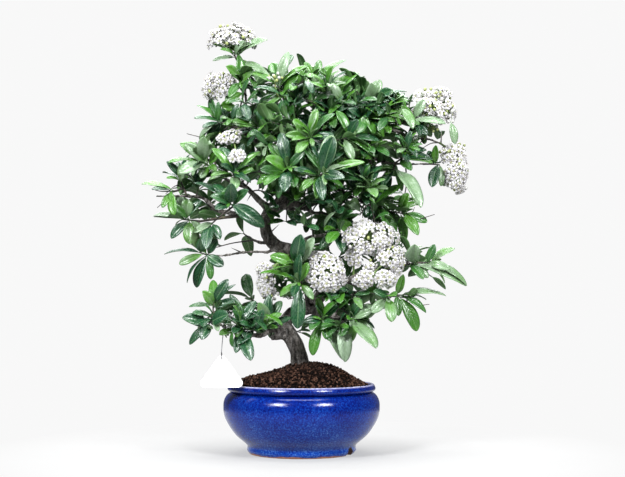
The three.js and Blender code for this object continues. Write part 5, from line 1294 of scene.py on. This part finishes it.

# Kinds of leaf tone by the places where they show on the upright plane, x and z: they copy how light or dark
# each leaf shows, painted highlight and shade included
SHOWN_LEAF_TONES = {
    "pale": [(-42, 504), (-55, 497), (-76, 500), (150, 403), (162, 402), (-30, 450), (-16, 490),
     (36, 448), (95, 455), (83, 446), (110, 443), (65, 363), (50, 350), (33, 295), (-25, 391), (-49, 366),
     (-110, 372), (-118, 382), (-145, 340), (-138, 309), (-177, 289), (-119, 268), (-103, 150),
     (-50, 222), (13, 263), (-7, 268), (52, 117), (75, 178), (135, 253), (67, 300), (149, 427), (46, 129),
     (163, 219), (150, 224), (128, 320), (134, 312), (-28, 478), (-95, 480), (182, 380), (170, 345),
     (139, 303), (140, 250), (96, 178), (104, 243)],
    "bright": [(-63, 461), (-92, 470), (-83, 404), (6, 463), (116, 416), (116, 405), (-9, 405), (99, 385),
     (0, 375), (75, 355), (-4, 320), (-42, 360), (-107, 343), (-134, 256), (-145, 232), (-90, 152),
     (-20, 197), (-38, 238), (-22, 248), (62, 270), (119, 302), (126, 301), (112, 214), (-18, 224)],
    "olive": [(80, 147), (103, 379), (-80, 324), (-128, 372), (-122, 338), (-51, 185), (126, 407),
     (75, 330), (90, 325), (115, 365), (157, 215), (170, 225), (106, 170), (165, 238), (150, 200)],
    "dark": [(-64, 118), (-72, 133), (-70, 501), (-59, 410), (70, 468), (104, 433), (-27, 378),
     (-126, 333), (-119, 308), (-114, 253), (-57, 170), (-5, 154), (43, 251), (45, 291), (3, 162),
     (138, 152), (106, 339), (157, 327), (135, 358), (70, 411), (38, 386), (25, 310), (-54, 327),
     (-148, 345), (-84, 324), (-142, 168), (-117, 155), (-92, 168), (-1, 265), (83, 294), (-60, 290),
     (-5, 170), (-4, 182)],
}
# These tones are partly the leaves' own greens and partly painted light and shade.
SHOWN_TONE_VALUES = {"pale": 0.88, "bright": 0.7, "olive": 0.8, "dark": 0.2}
SHOWN_TONE_REACH = 9.0

# Where leaves grow, as seen from the front: ellipses of centre x and z, half width and half height,
# and how many twigs grow there, as a share of the densest
CROWN_PADS = [
    (-78, 470, 22, 14, 0.6), (-45, 440, 52, 26, 0.8), (30, 440, 62, 34, 1.0), (90, 415, 50, 30, 1.0),
    (-50, 400, 62, 28, 0.9), (30, 395, 90, 40, 1.0), (140, 398, 45, 18, 0.8), (140, 368, 30, 18, 0.6),
    (133, 428, 20, 14, 0.7), (-18, 472, 14, 12, 0.2), (58, 454, 18, 14, 0.8),
]
MIDDLE_PADS = [
    (-112, 358, 42, 30, 0.55), (-124, 378, 22, 14, 0.5), (-15, 355, 62, 32, 1.0), (60, 350, 50, 36, 0.9),
    (0, 320, 62, 26, 0.9), (-118, 315, 44, 22, 0.35), (-135, 288, 30, 12, 0.2), (-112, 258, 22, 16, 0.2),
    (60, 312, 50, 26, 0.8), (115, 300, 32, 16, 0.5), (96, 284, 26, 16, 1.0), (-60, 338, 18, 14, 0.8),
    (-36, 292, 14, 14, 1.0),
]
LOW_PADS = [
    (45, 280, 20, 14, 1.0), (-5, 286, 18, 8, 0.8), (20, 280, 22, 14, 0.8), (32, 262, 12, 14, 0.8),
    (112, 262, 16, 14, 0.7), (88, 240, 34, 34, 0.8), (30, 224, 24, 20, 0.7), (-14, 190, 12, 10, 0.9),
    (-5, 240, 42, 16, 0.7), (-8, 215, 34, 30, 0.9), (145, 240, 24, 14, 0.4), (125, 222, 24, 12, 0.6),
    (60, 195, 60, 20, 0.9), (135, 193, 34, 12, 0.3), (40, 168, 45, 18, 0.7), (-95, 168, 38, 20, 0.7),
    (-60, 160, 46, 22, 0.8), (-72, 135, 12, 16, 0.3), (20, 150, 30, 12, 0.4), (176, 214, 16, 14, 0.4),
]
# How clear leaves stay of flower heads, at their sides and behind, and of the CAD's box in metres
FLOWER_MARGIN, FLOWER_DEPTH, BOX_MARGIN = 4, 8, 0.006


def in_pads(place):
    x, z = looks_at(place)
    return any(((x - cx) / wide) ** 2 + ((z - cz) / high) ** 2 < 1
               for cx, cz, wide, high, _ in CROWN_PADS + MIDDLE_PADS + LOW_PADS)


def hides_flowers(leaf):
    """Whether a leaf would stand before a flower head as seen from the front."""
    for share in (0.35, 0.7, 1.0):
        place = mix(leaf[0], leaf[1], share)
        x, z = looks_at(place)
        for at, _, (wide, high, _), _ in (dome for _, domes in HEADS.values() for dome in domes):
            away = math.hypot((x - at[0]) / (wide + FLOWER_MARGIN), (z - at[2]) / (high + FLOWER_MARGIN))
            if away < 1 and place[1] < seen(at)[1] + FLOWER_DEPTH:
                return True
    return False


def in_box(leaf):
    """Whether a leaf's ends lie inside the CAD model's box."""
    low, high = np.array(cad_box[0]) + BOX_MARGIN, np.array(cad_box[1]) - BOX_MARGIN
    return all(((low <= at) & (at <= high)).all() for at in (place * MM + POT_AXIS for place in leaf[:2]))


def fits(leaf):
    middle = mix(leaf[0], leaf[1], 0.55)
    return in_box(leaf) and in_pads(leaf[1]) and in_pads(middle) and not hides_flowers(leaf)


def leaf_tone(key, leaf):
    """The tone of the kind that shows where the leaf does, painted light and shade included, or one by
    chance.
    """
    best, tone = SHOWN_TONE_REACH, 0.12 + 0.56 * chance(key, 3, 1) ** 1.1
    if chance(key, 5, 2) > 0.86:
        tone = 0.68
    for share in (0.5, 0.75):
        x, z = looks_at(mix(leaf[0], leaf[1], share))
        for kind, spots in SHOWN_LEAF_TONES.items():
            away = min(math.hypot(x - spot[0], z - spot[1]) for spot in spots)
            if away < best:
                best, tone = away, SHOWN_TONE_VALUES[kind]
    return tone + 0.08 * (chance(key, 6, 2) - 0.5)


# Large leaves that stand out in front, by spray, each with its root, tip, width and tone; the tones copy how
# light or dark each leaf shows, painted sheen and shade included
LARGE_LEAVES = {
    "right_long": [((130, -33, 232), (197, -28, 206), 13, 0.84),
     ((126, -31, 231), (152, -36, 216), 11, 0.8)],
    "top_left": [((-77, -6, 479), (-35, -16, 452), 10, 0.85),
     ((-76, -10, 487), (-42, -26, 505), 11, 0.88), ((-79, -8, 483), (-69, -14, 503), 10, 0.9)],
    "upper_left": [((-75, -16, 454), (-90, -18, 473), 11, 0.72),
     ((-70, -7, 440), (-92, -12, 427), 12, 0.64)],
    "upper_inner": [((-30, -16, 449), (-16, -20, 490), 10, 0.88),
     ((-29, -15, 448), (-62, -24, 463), 9, 0.66), ((-24, -13, 436), (6, -22, 471), 9, 0.6),
     ((-19, -12, 425), (-58, -26, 411), 9, 0.32)],
    "left_inner": [((-50, -33, 397), (-84, -40, 405), 9, 0.68),
     ((-51, -35, 398), (-30, -40, 404), 9, 0.7)],
    "crown_front": [((11, -79, 385), (18, -84, 420), 9, 0.74), ((10, -66, 383), (17, -88, 408), 11, 0.95),
     ((60, -62, 385), (88, -70, 362), 9, 0.55)],
    "crown_top": [((29, -15, 428), (5, -22, 464), 11, 0.62), ((35, -30, 432), (69, -36, 410), 11, 0.95)],
    "crown_right": [((74, -18, 419), (94, -26, 455), 11, 0.84),
     ((90, -25, 428), (110, -28, 443), 13, 0.85)],
    "right_top": [((122, -9, 403), (108, -18, 444), 13, 0.62),
     ((130, -18, 405), (172, -26, 402), 10, 0.86), ((180, -10, 405), (185, -12, 377), 8, 0.88)],
    "crown_middle": [((77, -51, 409), (116, -58, 417), 9, 0.7),
     ((78, -52, 409), (113, -60, 405), 9, 0.72), ((70, -40, 408), (99, -56, 386), 10, 0.67)],
    "front_middle": [((26, -83, 341), (37, -92, 388), 14, 0.86),
     ((22, -76, 339), (76, -86, 355), 10, 0.68)],
    "right_far": [((166, 1, 353), (168, -6, 326), 7, 0.8), ((164, 2, 353), (155, -8, 328), 9, 0.15)],
    "right_upper_middle": [((112, -22, 349), (138, -30, 304), 9, 0.8),
     ((121, -16, 362), (141, -22, 375), 12, 0.66), ((119, -14, 359), (158, -22, 354), 9, 0.72)],
    "left_outer": [((-119, -24, 357), (-147, -28, 378), 15, 0.64),
     ((-119, -24, 356), (-114, -30, 384), 14, 0.86), ((-117, -24, 354), (-149, -32, 341), 12, 0.86),
     ((-101, -20, 341), (-126, -30, 334), 8, 0.3)],
    "left_middle": [((-83, -46, 342), (-108, -52, 372), 9, 0.68),
     ((-82, -44, 341), (-50, -52, 368), 9, 0.68)],
    "left_tip": [((-140, -19, 286), (-137, -24, 310), 13, 0.8),
     ((-143, -19, 286), (-178, -20, 289), 8, 0.84)],
    "left_big_leaf": [((-87, -50, 306), (-86, -52, 326), 15, 0.42)],
    "low_right_inner": [((49, -27, 165), (52, -42, 115), 16, 1.0)],
}


def make_spray(name, number):
    shape = Shape()
    tree = cad_tree("spray_" + name)
    for r, (twig_row, tips, more) in enumerate(SPRAYS[name]):
        twig = [seen(p) for p in twig_row]
        add_tube(shape, smooth_path(twig, 3), TWIG_RADII, 7, (0.4, 0, 0), TWIG_SLOT)
        first = 10 * number + r
        for k in range(len(tips) + more):
            if k < len(tips):
                leaf = chosen(tree, seen_leaf, twig_row, twig, tips[k], (first, k))
            else:
                leaf = chosen(tree, rule_leaf, twig, (first, k))
            if leaf is not None:
                add_leaf(shape, leaf, leaf_tone(first + 0.1 * k, leaf), first + 0.37 * k)
        for k in range(MORE_LEAVES):
            key = (first, 30 + k)
            root = mix(twig[-1], twig[-2], 0.1 + 0.8 * chance(*key, 6))
            leaf = rule_leaf(twig, key, 0, 0.62 + 0.3 * chance(*key, 8), root)
            if fits(leaf):
                add_leaf(shape, leaf, leaf_tone(first + 0.1 * k + 50, leaf), first + 0.37 * k + 9, LIGHT_LEAF)
        for k in range(YOUNG_LEAVES):
            key = (first, 50 + k)
            leaf = rule_leaf(twig, key, 0, 0.3 + 0.15 * chance(*key, 8), twig[-1])
            if fits(leaf):
                add_leaf(shape, leaf, 0.6 + 0.3 * chance(*key, 1), first + 0.37 * k + 21, LIGHT_LEAF)
    for root, tip, width, tone in LARGE_LEAVES.get(name, []):
        add_leaf(shape, (seen(root), seen(tip), vector(0.1, -0.75, 0.65), width), tone, width + root[0])
    dressed(shape.piece("fine_spray_" + name, leaf_finishes), "leaf", "spray_" + name)


# Inner foliage: further twigs with their leaves, which spring from the limbs nearest to them; leaves further
# back are painted darker as shade

# The area of the densest pad for each twig, the leaves on a twig and how much they turn up
PAD_AREA, INNER_LEAVES, INNER_RISE = 365.0, 8, 0.2
LEAST_TWIG, MOST_TWIG, INNER_RADII = 12, 58, (1.0, 0.6)
DEPTH_SPREAD, WIDTH_WEIGHT, BARE_TRUNK_STEPS = 62.0, 40, 12


def limb_points():
    """Points with their widths along the limbs, save the trunk's bare foot."""
    rows = [smooth_path([[*seen(p), p[3]] for p in limb], 5) for limb in LIMBS]
    return np.vstack([rows[0][BARE_TRUNK_STEPS:]] + rows[1:])


def inner_twig(points, pad, key):
    """A twig from the nearest thin limb to a place inside a pad."""
    cx, cz, wide, high, _ = pad
    luck = [chance(key, n, 9) for n in range(7)]
    turn, away = 2 * math.pi * luck[1], math.sqrt(luck[2])
    x, z = cx + 0.85 * wide * away * math.cos(turn), cz + 0.85 * high * away * math.sin(turn)
    end = seen((x, DEPTH_SPREAD * (2 * luck[3] - 1), z))
    start = points[np.argmin(((points[:, :3] - end) ** 2).sum(axis=1) + WIDTH_WEIGHT * points[:, 3])][:3]
    span = np.linalg.norm(end - start)
    end = start + (end - start) / span * min(max(span, LEAST_TWIG), MOST_TWIG)
    span = np.linalg.norm(end - start)
    bend = mix(start, end, 0.5) + vector(0, 0, 0.08 * span) + 0.14 * span * (vector(*luck[4:]) - 0.5)
    return [start, bend, end]


def make_inner_foliage(name, pads, first):
    shape = Shape()
    points = limb_points()
    places = [pad for pad in pads for _ in range(round(math.pi * pad[2] * pad[3] * pad[4] / PAD_AREA))]
    for key, pad in enumerate(places, first + 1):
        twig = inner_twig(points, pad, key)
        path = smooth_path(twig, 4)
        leaves = []
        for k in range(INNER_LEAVES):
            share = 1 - 0.6 * (k / INNER_LEAVES) ** 1.3
            root = path[min(len(path) - 1, max(1, round(share * (len(path) - 1))))]
            leaf = rule_leaf(twig, (key, k), 0, 0.5 + 0.36 * chance(key, k, 8), root, INNER_RISE)
            if fits(leaf):
                leaves.append((k, leaf))
        if len(leaves) < 2:
            continue
        add_tube(shape, path, INNER_RADII, 5, (0.35, 0, 0), TWIG_SLOT)
        # The further back a twig stands, the darker its leaves' tone: painted shade.
        front = min(1.0, max(0.0, 0.5 - 0.5 * twig[-1][1] / DEPTH_SPREAD))
        for k, leaf in leaves:
            tone = leaf_tone(key + 0.1 * k, leaf) * (0.5 + 0.5 * front)
            add_leaf(shape, leaf, tone, key + 0.37 * k, LIGHT_LEAF)
    dressed(shape.piece(name, leaf_finishes), "leaf")


# Stage: a pale floor, soft lights and a camera at the photograph's place

FLOOR_RADIUS, LIT_FLOOR, PLAIN_FLOOR = 0.5, 0.14, 0.4
AMBIENT = 0.17
DAYLIGHT, WHITE = (0.98, 0.99, 1), (1, 1, 1)
SENSOR, LENS = 36.0, 67.2
AIM = vector(13, 0, 255)

# Each light has a place, the place it faces, a width, a height, a power and a colour
LIGHTS = {
    "left_softbox": ((-1.9, -2.5, 2.2), (0, 0, 0.25), 1.0, 0.9, 170, DAYLIGHT),
    "right_softbox": ((1.9, -2.5, 2.2), (0, 0, 0.25), 1.0, 0.9, 142, DAYLIGHT),
    "left_glint": ((-1.9, -2.5, 2.4), (0, 0, 0.05), 0.45, 0.45, 36, WHITE),
    "right_glint": ((1.9, -2.5, 2.4), (0, 0, 0.05), 0.45, 0.45, 36, WHITE),
    "top_softbox": ((0, 0.1, 3.7), (0, 0, 0.2), 2.4, 1.8, 190, WHITE),
    "back_softbox": ((0, 2.8, 2.6), (0, 0, 0.3), 3.2, 1.6, 110, WHITE),
}


def make_floor():
    disc = bmesh.new()
    bmesh.ops.create_circle(disc, cap_ends=True, segments=96, radius=FLOOR_RADIUS)
    floor = linked("floor", plain_mesh(disc, "floor"))
    floor.data.materials.append(floor_white())


def aimed(name, data, place, target):
    """A light or a camera at a place, facing another."""
    made = linked(name, data)
    made.location = place
    made.rotation_euler = (Vector(target) - Vector(place)).to_track_quat("-Z", "Y").to_euler()
    return made


def make_lights():
    for name, (place, target, width, height, power, colour) in LIGHTS.items():
        light = bpy.data.lights.new(name, "AREA")
        light.shape = "RECTANGLE"
        light.size, light.size_y = width, height
        light.energy, light.color = power, colour
        aimed(name, light, place, target)


def make_world():
    """A white backdrop all round that lights the object more softly than it looks."""
    world = bpy.data.worlds.new("studio")
    world.use_nodes = True
    nodes, link = world.node_tree.nodes, world.node_tree.links.new
    shown, soft = nodes["Background"], nodes.new("ShaderNodeBackground")
    mixed, rays = nodes.new("ShaderNodeMixShader"), nodes.new("ShaderNodeLightPath")
    for node, colour, strength in ((shown, (1, 1, 1, 1), BACKDROP), (soft, (0.93, 0.97, 1.0, 1), AMBIENT)):
        node.inputs["Color"].default_value = colour
        node.inputs["Strength"].default_value = strength
    for socket, source in enumerate((rays.outputs["Is Camera Ray"], soft.outputs[0], shown.outputs[0])):
        link(source, mixed.inputs[socket])
    link(mixed.outputs[0], nodes["World Output"].inputs["Surface"])
    bpy.context.scene.world = world
    bpy.context.scene.view_settings.view_transform = "Standard"


def make_camera():
    eye = (EYE - vector(0, 0, GROUND)) * MM + POT_AXIS
    camera = aimed("camera", bpy.data.cameras.new("camera"), eye, AIM * MM + POT_AXIS)
    camera.data.sensor_width, camera.data.lens = SENSOR, LENS
    bpy.context.scene.camera = camera


# The object on its stage

leaf_finishes = [leaf_top(), leaf_under(), twig()]
petal_finish, centre_finish, anther_finish, stalk_finish = petal(), floret_centre(), anther(), green_stalk()
bark_finish, twig_finish = bark(), leaf_finishes[TWIG_SLOT]
glaze_finish, soil_finish = glaze(), soil()
card_finish, wire_finish = card_white(), wire_grey()

make_pot()
make_mound()
make_crumbs()
make_wood()
make_card()
make_wire()
for number, name in enumerate(HEADS):
    make_head(name, number)
for number, name in enumerate(SPRAYS):
    make_spray(name, number)
make_inner_foliage("fine_foliage_crown", CROWN_PADS, 1000)
make_inner_foliage("fine_foliage_middle", MIDDLE_PADS, 2000)
make_inner_foliage("fine_foliage_low", LOW_PADS, 3000)
make_floor()
make_world()
make_lights()
make_camera()
